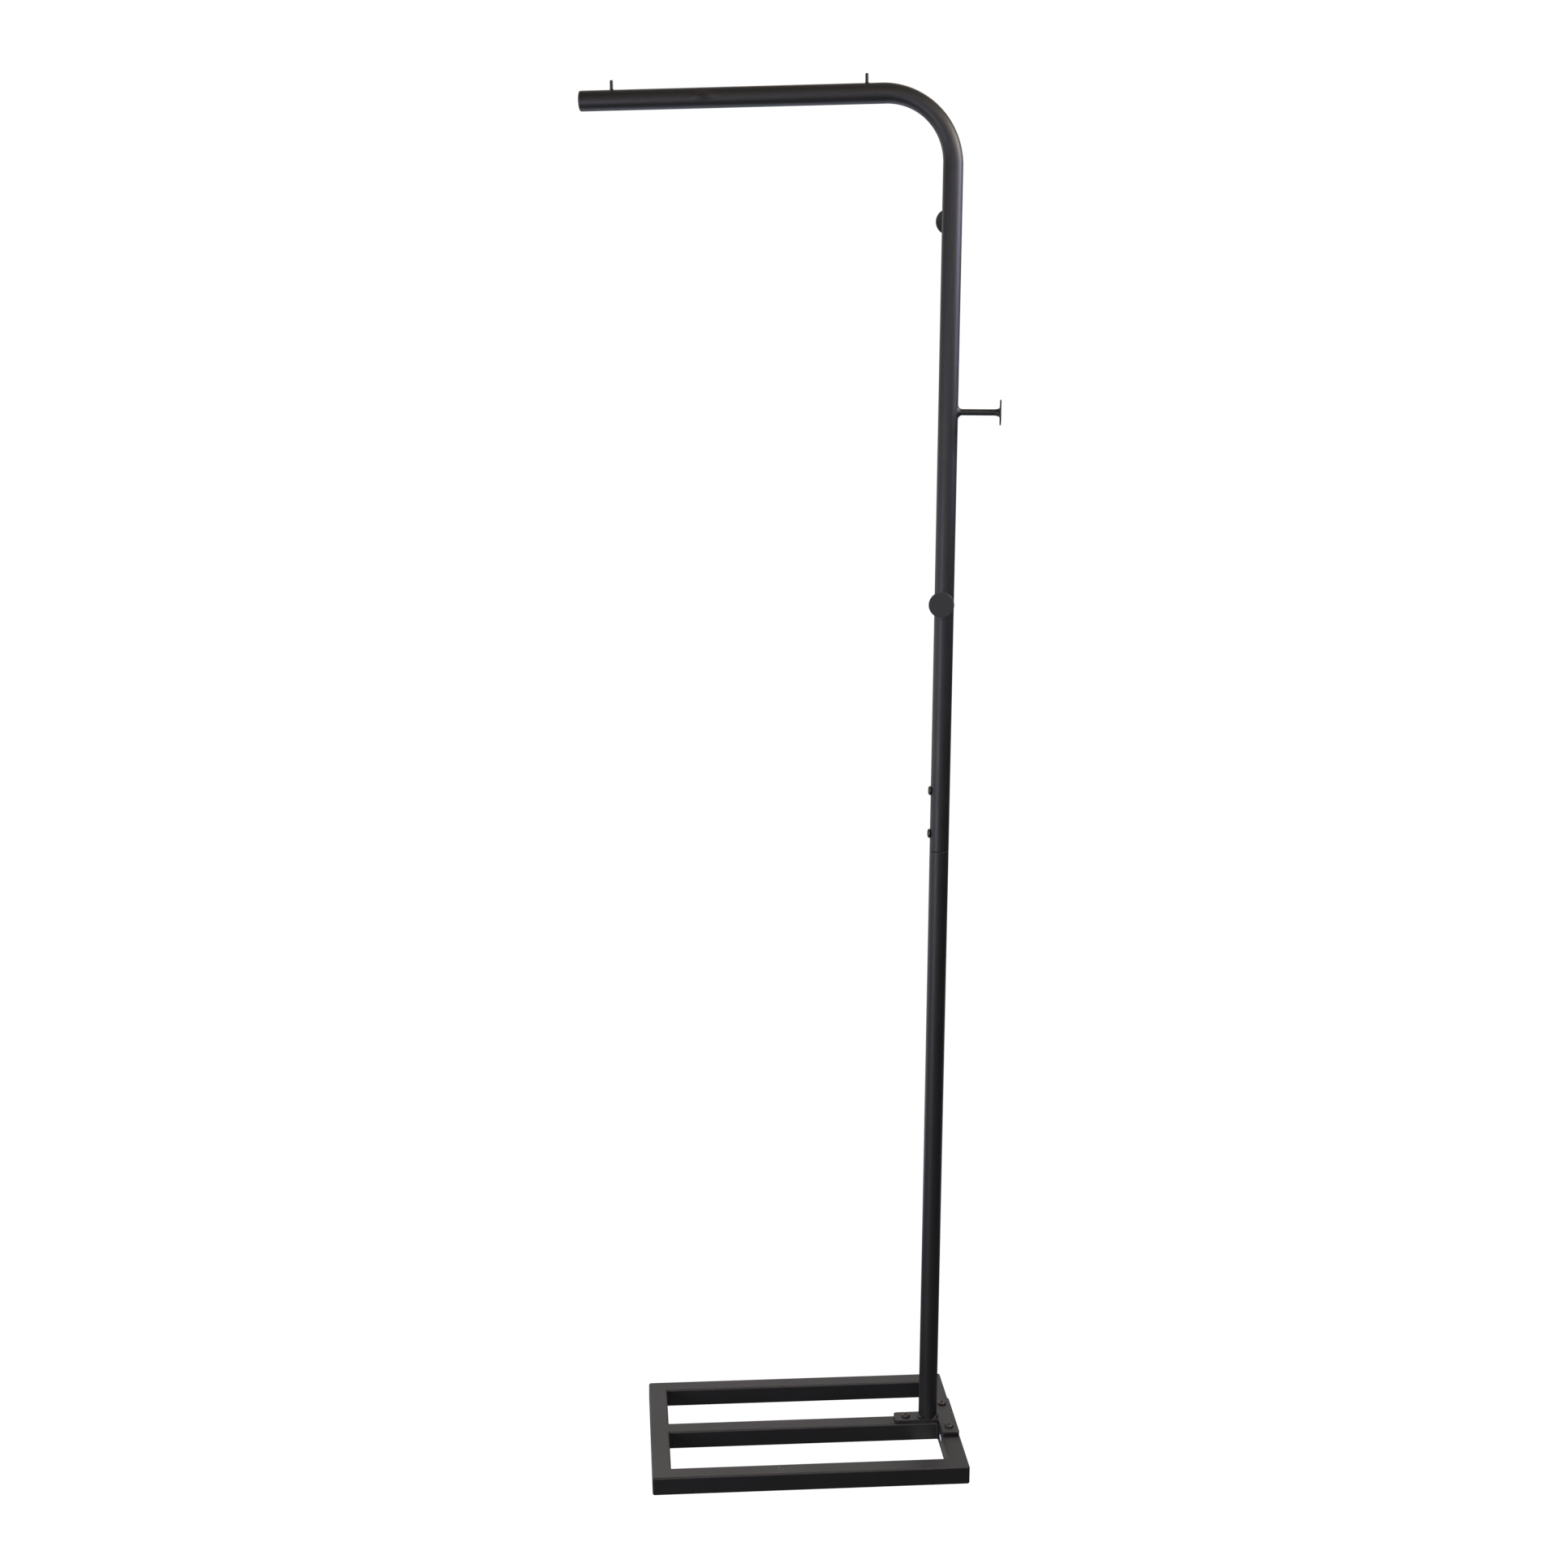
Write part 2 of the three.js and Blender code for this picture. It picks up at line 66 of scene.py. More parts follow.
def skin(name, rings, closed=False, rub=None, crease=32):
    """Makes a mesh from a stack of rings, an array of (ring, point, xyz). Four-sided faces join
    each ring to the next. A closed stack also joins its last ring to its first, like a hose
    bent into a loop, and an open one gets a flat face over each end. The volume under the
    faces is a third of the sum of corner dot face area; if it comes out negative, all faces
    are turned over, so that they point outwards. rub says how much each point is exposed."""
    rows, columns = rings.shape[:2]
    index = np.arange(rows * columns).reshape(rows, columns)
    here = index if closed else index[:-1]
    there = np.roll(index, -1, axis=0) if closed else index[1:]
    quads = np.stack(
        [here, np.roll(here, -1, 1), np.roll(there, -1, 1), there], axis=-1
    ).reshape(-1, 4)
    ends = [] if closed else [index[0][::-1], index[-1]]
    points = rings.reshape(-1, 3)
    middle = points.mean(0)
    fans = [np.stack([e[:1].repeat(columns - 2), e[1:-1], e[2:]], -1) for e in ends]
    halves = np.concatenate([quads[:, [0, 1, 2]], quads[:, [0, 2, 3]], *fans])
    a, b, c = np.moveaxis(points[halves] - middle, 1, 0)
    if np.einsum("ij,ij->", a, np.cross(b, c)) < 0:
        quads = quads[:, ::-1]
        ends = [e[::-1] for e in ends]
    mesh = bpy.data.meshes.new(name)
    mesh.from_pydata(points.tolist(), [], quads.tolist() + [e.tolist() for e in ends])
    mesh.shade_smooth()
    mesh.set_sharp_from_angle(angle=math.radians(crease))
    exposed = mesh.attributes.new("rub", "FLOAT", "POINT")
    amount = np.zeros((rows, columns)) if rub is None else np.broadcast_to(rub, (rows, columns))
    exposed.data.foreach_set("value", amount.astype(np.float32).ravel())
    piece = bpy.data.objects.new(name, mesh)
    bpy.context.scene.collection.objects.link(piece)
    return piece


def fit(piece, material, slot, *nodes):
    """Gives a finished piece its material, hangs it on the root body and hides the nodes that it
    stands for; the slot is not used.
    """
    piece.data.materials.append(material)
    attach(piece, "root")
    if nodes:
        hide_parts(*nodes)


class Wire:
    """One output of a shader node. Arithmetic on wires adds Math nodes behind it."""

    def __init__(self, tree, socket=None):
        self.tree = tree
        self.socket = socket

    def node(self, kind, settings=None, inputs=None, output=0):
        """Adds a node: its type, its settings, then a number or a wire for each input."""
        made = self.tree.nodes.new("ShaderNode" + kind)
        for name, value in (settings or {}).items():
            setattr(made, name, value)
        for name, value in (inputs or {}).items():
            if isinstance(value, Wire):
                self.tree.links.new(value.socket, made.inputs[name])
            else:
                made.inputs[name].default_value = value
        return Wire(self.tree, made.outputs[output])

    def maths(self, operation, first, second):
        return self.node("Math", {"operation": operation}, {0: first, 1: second})

    def __add__(self, other):
        return self.maths("ADD", self, other)

    __radd__ = __add__

    def __sub__(self, other):
        return self.maths("SUBTRACT", self, other)

    def __rsub__(self, other):
        return self.maths("SUBTRACT", other, self)

    def __mul__(self, other):
        return self.maths("MULTIPLY", self, other)

    __rmul__ = __mul__

    def noise(self, place, scale, detail=2.0, roughness=0.5):
        """Soft noise from 0 to 1, with scale blobs to the metre."""
        return self.node("TexNoise", None, {
            "Vector": place, "Scale": scale, "Detail": detail, "Roughness": roughness,
        })

    def band(self, value, low, high, start=0.0, end=1.0):
        """Goes from start to end as a value goes from low to high."""
        return self.node("MapRange", {"interpolation_type": "SMOOTHSTEP"}, {
            0: value, 1: low, 2: high, 3: start, 4: end,
        })

    def blend(self, share, first, second):
        """One colour turning into another as share goes from 0 to 1."""
        return self.node("Mix", {"data_type": "RGBA"}, {0: share, 6: first, 7: second}, output=2)

    def place(self):
        return self.node("TexCoord", output="Object")

    def away_from(self, place, centre, radii):
        """The distance from a fixed point on the object, as a share of an oval's radii: the
        length of the offset from the centre, divided by the radii axis by axis."""
        offset = self.node("VectorMath", {"operation": "SUBTRACT"}, {0: place, 1: centre})
        share = self.node("VectorMath", {"operation": "DIVIDE"}, {0: offset, 1: radii})
        return self.node("VectorMath", {"operation": "LENGTH"}, {0: share}, output=1)


def new_material(name):
    """An empty material, with a wire to build on and its main shader."""
    material = bpy.data.materials.new(name)
    material.use_nodes = True
    tree = material.node_tree
    return material, Wire(tree), tree.nodes["Principled BSDF"]


def connect(shader, **wires):
    """Plugs wires into a shader's inputs."""
    for name, wire in wires.items():
        wire.tree.links.new(wire.socket, shader.inputs[name.replace("_", " ")])


def powder_coat(name, deep, pale, marks=()):
    """Baked powder coat: matt, faintly pebbled, a little thinner and smoother on edges that
    are handled, with a few dust specks. marks are oval patches: centre, radii, softness of
    the rim as a share, colour, added roughness."""
    material, wire, shader = new_material(name)
    place = wire.place()
    cloud = wire.noise(place, 14.0, 3.0)
    mottle = wire.noise(place, 160.0, 3.0, 0.6)
    pebble = wire.noise(place, 620.0, 2.0)
    grit = wire.noise(place, 2600.0, 2.0, 0.6)
    rub = wire.node("Attribute", {"attribute_name": "rub"}, output="Fac")
    worn = wire.band(rub * (0.35 + mottle), 0.35, 0.95)
    shade = wire.band(cloud * 0.55 + mottle * 0.45, 0.36, 0.64)
    colour = wire.blend(shade, deep, pale)
    colour = wire.blend(worn * 0.4, colour, (0.02, 0.0195, 0.019, 1))
    cells = {"Vector": place, "Scale": 95.0, "Randomness": 1.0}
    speck = wire.band(wire.node("TexVoronoi", None, cells), 0.03, 0.055, 1.0, 0.0)
    lone = wire.band(wire.noise(place, 37.0), 0.66, 0.7)
    dust = speck * lone
    colour = wire.blend(dust * 0.5, colour, (0.1, 0.095, 0.09, 1))
    rough = 0.44 + 0.12 * cloud + 0.08 * (grit - 0.5) - 0.07 * worn + 0.1 * dust
    for centre, radii, soft, patch, dulled in marks:
        ragged = wire.away_from(place, centre, radii) + (mottle - 0.5) * 0.3
        spot = wire.band(ragged, 1 - soft, 1.0, 1.0, 0.0)
        colour = wire.blend(spot, colour, patch)
        rough = rough + spot * dulled
    height = pebble * 0.6 + grit * 0.25 + mottle * 0.5 - worn * 0.2
    relief = wire.node("Bump", None, {"Strength": 0.55, "Distance": 0.00012, "Height": height})
    connect(shader, Base_Color=colour, Roughness=rough, Normal=relief)
    return material


def rounded_square(size, radius, steps=8):
    """Points round a square whose corners are quarter circles, and how exposed each point is:
    nothing on the flats, most at the middle of a corner. Each corner also has one point a
    little way back on each flat beside it, which keeps the flat's shading flat."""
    turn = np.linspace(0, math.pi / 2, steps + 1)
    arc = np.stack([np.cos(turn), np.sin(turn)], 1) * radius
    corner = np.concatenate([arc[:1] - (0, HOLD), arc, arc[-1:] - (HOLD, 0)])
    corner += size / 2 - radius
    quarter = [corner]
    for _ in range(3):
        quarter.append(np.stack([-quarter[-1][:, 1], quarter[-1][:, 0]], 1))
    exposed = np.concatenate([[0], np.sin(2 * turn), [0]])
    return np.concatenate(quarter), np.tile(exposed, 4)


def mitred_rows(section, half):
    """Rings of (along, across, up) from mitre to mitre. Seen from above, a point that is
    deeper than the ground corner runs to half the length less its depth; one nearer the
    outside turns in on a circle, so both bars meet on the mitre in a rounded edge."""
    depth = section[:, 0] + BAR_SIZE / 2
    sweep = np.linspace(0, math.pi / 4, 6)[:, None]
    inside = depth >= GROUND_CORNER
    back = HOLD * (1 - sweep / (math.pi / 4))
    straight = half - depth - back
    round_x = half - GROUND_CORNER + (GROUND_CORNER - depth) * np.sin(sweep)
    round_depth = GROUND_CORNER - (GROUND_CORNER - depth) * np.cos(sweep)
    along = np.where(inside, straight, round_x)
    across = np.where(inside, depth, round_depth) - BAR_SIZE / 2
    up = np.broadcast_to(section[:, 1], along.shape)
    one_end = np.stack([along, across, up], -1)
    other_end = one_end[::-1] * (-1, 1, 1)
    return np.concatenate([other_end, one_end])


def butted_rows(section, half):
    """Two rings of (along, across, up), square across both ends."""
    ends = np.array([-half, half])[:, None]
    along = np.broadcast_to(ends, (2, len(section)))
    across, up = (np.broadcast_to(section[:, i], along.shape) for i in (0, 1))
    return np.stack([along, across, up], -1)


def turned_about_z(points, quarter_turns):
    """Points after a number of quarter turns about the upright axis."""
    for _ in range(quarter_turns):
        points = points @ np.array([[0, 1, 0], [-1, 0, 0], [0, 0, 1]])
    return points


BASE_MARKS = [  # a near-white oval patch on the right bar's inner face, three specks on the front bar
    ((0.185, -0.037, 0.0165), (0.002, 0.0072, 0.0037), 0.12, (0.93, 0.93, 0.92, 1), 0.1),
    ((-0.0430, -0.1160, 0.025), (0.0012, 0.0012, 0.002), 0.5, (0.19, 0.18, 0.17, 1), 0),
    ((-0.0385, -0.1210, 0.025), (0.0009, 0.0009, 0.002), 0.5, (0.15, 0.15, 0.14, 1), 0),
    ((-0.0300, -0.1185, 0.025), (0.0008, 0.0008, 0.002), 0.5, (0.15, 0.15, 0.14, 1), 0),
]
base_coat = powder_coat(
    "base_powder_coat", (0.0034, 0.0033, 0.0034, 1), (0.0046, 0.0044, 0.0045, 1), BASE_MARKS
)
SIDE_LENGTHS = {
    "base_front_bar": (0, RIGHT_EDGE - LEFT_EDGE, (0, FRONT_EDGE + BAR_SIZE / 2)),
    "base_right_bar": (1, BACK_EDGE - FRONT_EDGE, (RIGHT_EDGE - BAR_SIZE / 2, 0)),
    "base_back_bar": (2, RIGHT_EDGE - LEFT_EDGE, (0, BACK_EDGE - BAR_SIZE / 2)),
    "base_left_bar": (3, BACK_EDGE - FRONT_EDGE, (LEFT_EDGE + BAR_SIZE / 2, 0)),
    "base_middle_bar": (0, RIGHT_EDGE - LEFT_EDGE - 2 * BAR_SIZE, (0, 0)),
}
outside, outside_rub = rounded_square(BAR_SIZE, BAR_CORNER)
bore = rounded_square(BAR_SIZE - 2 * BAR_WALL, BAR_CORNER - BAR_WALL)[0]
for node, (turns, length, (x, y)) in SIDE_LENGTHS.items():
    rows_of = butted_rows if node == "base_middle_bar" else mitred_rows
    outer, inner = rows_of(outside, length / 2), rows_of(bore, length / 2)
    rings = turned_about_z(np.concatenate([outer, inner[::-1]]), turns)
    exposed = np.concatenate([np.tile(outside_rub, (len(outer), 1)), np.zeros(inner.shape[:2])])
    bar = skin(node + "_tube", rings + (x, y, BAR_SIZE / 2), closed=True, rub=exposed)
    fit(bar, base_coat, "powder_coat", node)


# ==== Base welds ====
# Short MIG beads that fill the frame's four inside corners and run round both ends of the
# middle bar. They stand proud at the sides and are ground flush on top, then coated over.

CORNER_BEAD_LEG = 1.8 * MM
END_BEAD_LEG = 2.2 * MM
OFF_FLOOR = 0.02 * MM  # the beads are dressed level with the bars underneath
RIPPLE = 1.5 * MM  # the pitch of the scales left as the bead was laid
BURIED = 0.3 * MM  # how deep the back of a bead lies in the steel
BEAD_STOP = 1.6 * MM  # from the bars' tops and undersides to the end of a corner bead
BEAD_TAPER = 1.2 * MM  # where the bead would have thinned to nothing
FLUSH_START = -0.9 * MM  # the ground bead on top starts on the middle bar
FLUSH_WIDTH = 3.5 * MM
FLUSH_CROWN = 0.07 * MM
chance = np.random.default_rng(7)


def scales(travel, depth):
    """The height of a weld's scales along it: a rounded saw wave, the absolute value of a
    sine, and a slow drift made of two sines of random start."""
    first, second = chance.uniform(0, 2 * math.pi, 2)
    wave = np.abs(np.sin(math.pi * travel / RIPPLE + first)) - 0.5
    drift = np.sin(travel / (4.3 * MM) + first) + np.sin(travel / (2.7 * MM) + second)
    return depth * (wave + 0.4 * drift)


def hollow_fillet(steps):
    """Shares (off the first wall, off the second) along a hollow quarter circle, which
    touches one wall at (1, 0) and the other at (0, 1)."""
    angle = np.linspace(0, math.pi / 2, steps + 1)
    return 1 - np.sin(angle), 1 - np.cos(angle)


inner_x = RIGHT_EDGE - BAR_SIZE
inner_y = BACK_EDGE - BAR_SIZE
for label, sign_x, sign_y in (
    ("front_left", -1, -1), ("front_right", 1, -1), ("back_right", 1, 1), ("back_left", -1, 1),
):
    rise = np.linspace(BEAD_STOP, BAR_SIZE - BEAD_STOP, 90)[:, None]
    taper = np.clip((np.minimum(rise, BAR_SIZE - rise) - BEAD_TAPER) / MM, 0.2, 1)
    leg = (CORNER_BEAD_LEG + scales(rise, 0.16 * MM)) * np.sqrt(taper)
    off_x, off_y = hollow_fillet(8)
    behind = np.full_like(leg, -BURIED)
    off_x = np.concatenate([leg * off_x, behind, behind, leg], 1)
    off_y = np.concatenate([leg * off_y, leg, behind, behind], 1)
    up = np.broadcast_to(rise, off_x.shape)
    rings = np.stack([sign_x * (inner_x - off_x), sign_y * (inner_y - off_y), up], -1)
    bead = skin("corner_bead_" + label, rings, rub=0.2)
    fit(bead, base_coat, "powder_coat")

outline = rounded_square(BAR_SIZE, BAR_CORNER)[0]
outline = np.concatenate([outline, outline[:1]])
run = np.concatenate([[0], np.cumsum(np.linalg.norm(np.diff(outline, axis=0), axis=1))])
travel = np.linspace(0, run[-1], 360, endpoint=False)[:, None]
round_bar = np.stack([np.interp(travel[:, 0], run, outline[:, i]) for i in (0, 1)], 1)
along_outline = np.roll(round_bar, -1, 0) - np.roll(round_bar, 1, 0)
outward = np.stack([along_outline[:, 1], -along_outline[:, 0]], 1)
outward /= np.linalg.norm(outward, axis=1)[:, None]
for label, sign in (("left", -1), ("right", 1)):
    side = outward[:, :1] ** 2  # one on the bar's upright sides, nothing on its top
    leg = END_BEAD_LEG + scales(travel, 0.15 * MM)
    back_off, side_off = hollow_fillet(10)
    crown = np.linspace(0, 1, 11)
    flush_along = FLUSH_START + FLUSH_WIDTH * crown
    on_top = np.maximum(outward[:, 1:], 0)
    flush_out = FLUSH_CROWN * on_top * np.sin(math.pi * crown) * (1 + scales(travel, 0.5))
    reach = side * -leg * back_off + (1 - side) * flush_along
    proud = side * leg * side_off + (1 - side) * flush_out
    sunk = 0.4 * MM
    root_reach, root_depth = np.full_like(leg, 0.3 * MM), np.full_like(leg, 2.4 * MM)
    reach = np.concatenate([reach, reach[:, -1:], root_reach, reach[:, :1]], 1)
    proud = np.concatenate([
        proud, proud[:, -1:] * side - sunk, -root_depth, proud[:, :1] - sunk
    ], 1)
    across = round_bar[:, :1] + outward[:, :1] * proud
    up = np.maximum(round_bar[:, 1:] + outward[:, 1:] * proud + BAR_SIZE / 2, OFF_FLOOR)
    rings = np.stack([sign * (inner_x + reach), across, up], -1)
    bead = skin("middle_bar_bead_" + label, rings, closed=True, rub=0.2)
    fit(bead, base_coat, "powder_coat")


# ==== Foot plate ====
# A T cut from 5 mm steel plate, its corners rounded and its edges deburred, powder coated.
# The stem lies along the middle bar and the crossbar along the right one.

PLATE_CORNER = 4 * MM
PLATE_NOTCH = 0.8 * MM  # the cutter's radius where stem and crossbar meet
PLATE_EDGE = 0.6 * MM
STEM_HALF = 12 * MM
CROSS_LEFT = 185.5 * MM

plate_low, plate_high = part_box("foot_plate")
PLATE_TOP = plate_high.z


def rounded_outline(corners, radii, steps=7):
    """Points and outward directions round a flat shape, given anticlockwise. Each corner
    becomes an arc that starts the arc's tangent length before it. Along the arc the direction
    of travel turns evenly, and outward lies a quarter turn to the right of it."""
    corners = np.array(corners, float)
    before = corners - np.roll(corners, 1, 0)
    after = np.roll(before, -1, 0)
    points, outwards = [], []
    for corner, came, goes, radius in zip(corners, before, after, radii):
        came, goes = came / np.linalg.norm(came), goes / np.linalg.norm(goes)
        turn = math.atan2(came[0] * goes[1] - came[1] * goes[0], came @ goes)
        start = corner - came * radius * math.tan(abs(turn) / 2)
        side = math.copysign(radius, turn)
        centre = start + side * np.array([-came[1], came[0]])
        heading = math.atan2(came[1], came[0]) + turn * np.linspace(0, 1, steps + 1)
        right = np.stack([np.sin(heading), -np.cos(heading)], 1)
        arc = centre + side * right
        points += [arc[:1] - came * HOLD, arc, arc[-1:] + goes * HOLD]
        outwards += [right[:1], right, right[-1:]]
    return np.concatenate(points), np.concatenate(outwards)


def edged_plate(outline, outwards, bottom, top, edge, steps=5):
    """Rings up the edge of a plate: a rounded lower edge, the upright side and a rounded upper
    edge. At each angle of a rounding, the outline moves in by the edge radius times one less
    the cosine, and the height by the radius times one less the sine."""
    angle = np.linspace(0, math.pi / 2, steps + 1)
    inset = edge * (1 - np.cos(angle))
    rise = edge * np.sin(angle)
    insets = np.concatenate([[edge + HOLD], inset[::-1], inset, [edge + HOLD]])
    heights = np.concatenate([[bottom], bottom + edge - rise[::-1], top - edge + rise, [top]])
    flat = outline - outwards * insets[:, None, None]
    up = np.broadcast_to(heights[:, None, None], flat.shape[:2] + (1,))
    edge_rub = np.concatenate([[0], np.sin(2 * angle)[::-1], np.sin(2 * angle), [0]])
    return np.concatenate([flat, up], -1), edge_rub[:, None]


cross_right, cross_y = plate_high.x, plate_high.y
plate_corners = [
    (plate_low.x, -STEM_HALF), (CROSS_LEFT, -STEM_HALF), (CROSS_LEFT, -cross_y),
    (cross_right, -cross_y), (cross_right, cross_y), (CROSS_LEFT, cross_y),
    (CROSS_LEFT, STEM_HALF), (plate_low.x, STEM_HALF),
]
plate_radii = [PLATE_CORNER, PLATE_NOTCH] + [PLATE_CORNER] * 4 + [PLATE_NOTCH, PLATE_CORNER]
plate_outline, plate_outwards = rounded_outline(plate_corners, plate_radii)
rings, exposed = edged_plate(plate_outline, plate_outwards, plate_low.z, PLATE_TOP, PLATE_EDGE)
plate_coat = powder_coat(
    "plate_powder_coat", (0.0034, 0.0033, 0.0033, 1), (0.0046, 0.0043, 0.0044, 1)
)
fit(skin("foot_plate_steel", rings, rub=exposed), plate_coat, "powder_coat", "foot_plate")


# ==== Lower tube ====
# Round steel tube, 25 mm outside with a 1.5 mm wall, cut square and deburred. It stands on
# the foot plate and stops at the joint half-way up; coated with the rest.

TUBE_WALL = 1.5 * MM
TUBE_EDGE = 0.45 * MM
TUBE_SIDES = 96
TUBE_RINGS = 40
SEAT_GAP = 0.02 * MM  # keeps two faces that rest on each other just apart

tube_low, tube_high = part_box("lower_tube")
TUBE_RADIUS = (tube_high.x - tube_low.x) / 2
POST = np.array([(tube_low.x + tube_high.x) / 2, (tube_low.y + tube_high.y) / 2, 0])


def cut_end(radius, wall, edge, steps=4):
    """Going over the end of a tube, from its outside to its bore: how far inside the outer
    skin and how far short of the end each ring lies, along two rounded edges."""
    angle = np.linspace(0, math.pi / 2, steps + 1)
    inner_edge = edge * 0.5
    inset = np.concatenate([edge * (1 - np.cos(angle)),
                            wall - inner_edge * (1 - np.cos(angle[::-1]))])
    short = np.concatenate([edge * (1 - np.sin(angle)),
                            inner_edge * (1 - np.sin(angle[::-1]))])
    return radius - inset, short


def round_about(radii, heights, sides=TUBE_SIDES):
    """Rings about the upright axis, one for each radius and height."""
    angle = np.linspace(0, 2 * math.pi, sides, endpoint=False)
    circle = np.stack([np.cos(angle), np.sin(angle)], -1)
    flat = np.asarray(radii)[:, None, None] * circle
    up = np.broadcast_to(np.asarray(heights)[:, None, None], flat.shape[:2] + (1,))
    return np.concatenate([flat, up], -1)


POST_MARKS = [  # the coat over the filler on the arm is duller and browner
    ((-0.1332, 0.0469, 1.7805), (0.013, 0.012, 0.0056), 0.75, (0.012, 0.008, 0.006, 1), 0.35),
]
post_coat = powder_coat(
    "post_powder_coat", (0.0032, 0.0032, 0.0034, 1), (0.0043, 0.0042, 0.0045, 1), POST_MARKS
)
end_radii, end_short = cut_end(TUBE_RADIUS, TUBE_WALL, TUBE_EDGE)
levels = np.linspace(PLATE_TOP + SEAT_GAP, tube_high.z - TUBE_EDGE - HOLD, TUBE_RINGS)
radii = np.concatenate([
    np.full(TUBE_RINGS, TUBE_RADIUS), end_radii, np.full(2, TUBE_RADIUS - TUBE_WALL)
])
heights = np.concatenate([levels, tube_high.z - end_short, [levels[-1], levels[0]]])
lower = skin("lower_post_tube", round_about(radii, heights) + POST, closed=True, rub=0.1)
fit(lower, post_coat, "powder_coat", "lower_tube")


# ==== Foot weld ====
# The bead that holds the post to the foot plate: two arcs, left and right, which run out
# where the post is as wide as the plate's stem. Left as laid, in even scales, and coated.

FOOT_BEAD_LEG = 2.9 * MM
FOOT_BEAD_STEPS = 220
FOOT_BEAD_HALF = 1.27  # radians from a bead's middle to its end
FOOT_BEAD_EDGE = 0.25 * MM  # from the stem's edge to the bead, and the bead's least leg
FOOT_BLOB_BEARING = math.radians(229)  # where the left bead was started, at its front end
FOOT_BLOB_WIDTH = 0.3  # radians
for label, middle_angle in (("left", math.pi), ("right", 0.0)):
    spread = np.linspace(-FOOT_BEAD_HALF, FOOT_BEAD_HALF, FOOT_BEAD_STEPS)[:, None]
    bearing = middle_angle + spread
    across = np.maximum(np.abs(np.sin(bearing)), 0.1)
    room = (STEM_HALF - FOOT_BEAD_EDGE) / across - TUBE_RADIUS
    laid = FOOT_BEAD_LEG + scales(bearing * TUBE_RADIUS, 0.09 * MM)
    leg = np.clip(room, FOOT_BEAD_EDGE, laid)
    blob = np.exp(-((bearing - FOOT_BLOB_BEARING) / FOOT_BLOB_WIDTH) ** 2)
    share = np.linspace(0, 1, 12)
    climb = leg * (1.15 + 0.25 * blob)
    swell = (0.1 + 0.4 * blob) * np.sin(math.pi * share)
    radius = TUBE_RADIUS + leg * (1 - share + swell)
    up = PLATE_TOP + climb * (share + swell)
    inner = radius[:, -1:] - BURIED
    under = up[:, :1] - BURIED
    radius = np.concatenate([radius, inner, inner, radius[:, :1] - BURIED], 1)
    up = np.concatenate([up, up[:, -1:], under, under], 1)
    rings = np.stack([radius * np.cos(bearing), radius * np.sin(bearing), up], -1) + POST
    bead = skin("foot_bead_" + label, rings, rub=0.35)
    fit(bead, post_coat, "powder_coat", "foot_weld_" + label)


# ==== Screws ====
# Domed M6 socket screws, cold headed and blacked: three hold the foot plate to the bars, two
# hold the upper tube to the sleeve inside it.

HEAD_RADIUS = 6 * MM
HEAD_HEIGHT = 3.3 * MM
HEAD_RIM = 1.5 * MM
HEAD_BREAK = 0.2 * MM  # taken off the rim's two edges
HEAD_DOME = math.radians(56)
SHANK_RADIUS = 3 * MM
SOCKET_REACH = 2 * MM  # from the middle to a flat
SOCKET_FLOOR = 1.3 * MM
SOCKET_MOUTH = 0.45 * MM  # how much wider the socket is where it is broken in
THREAD_DEPTH = 0.35 * MM
THREAD_PITCH = 1.0 * MM
FOOT_SCREW_LENGTH = 16 * MM
JOINT_SCREW_LENGTH = 12 * MM
RUBBED_RIM = (5.2 * MM, 1.4 * MM)  # radius and half width of the ring that hands rub bright
RUBBED_LIP = (2.4 * MM, 0.5 * MM)  # the same for the key, at the socket


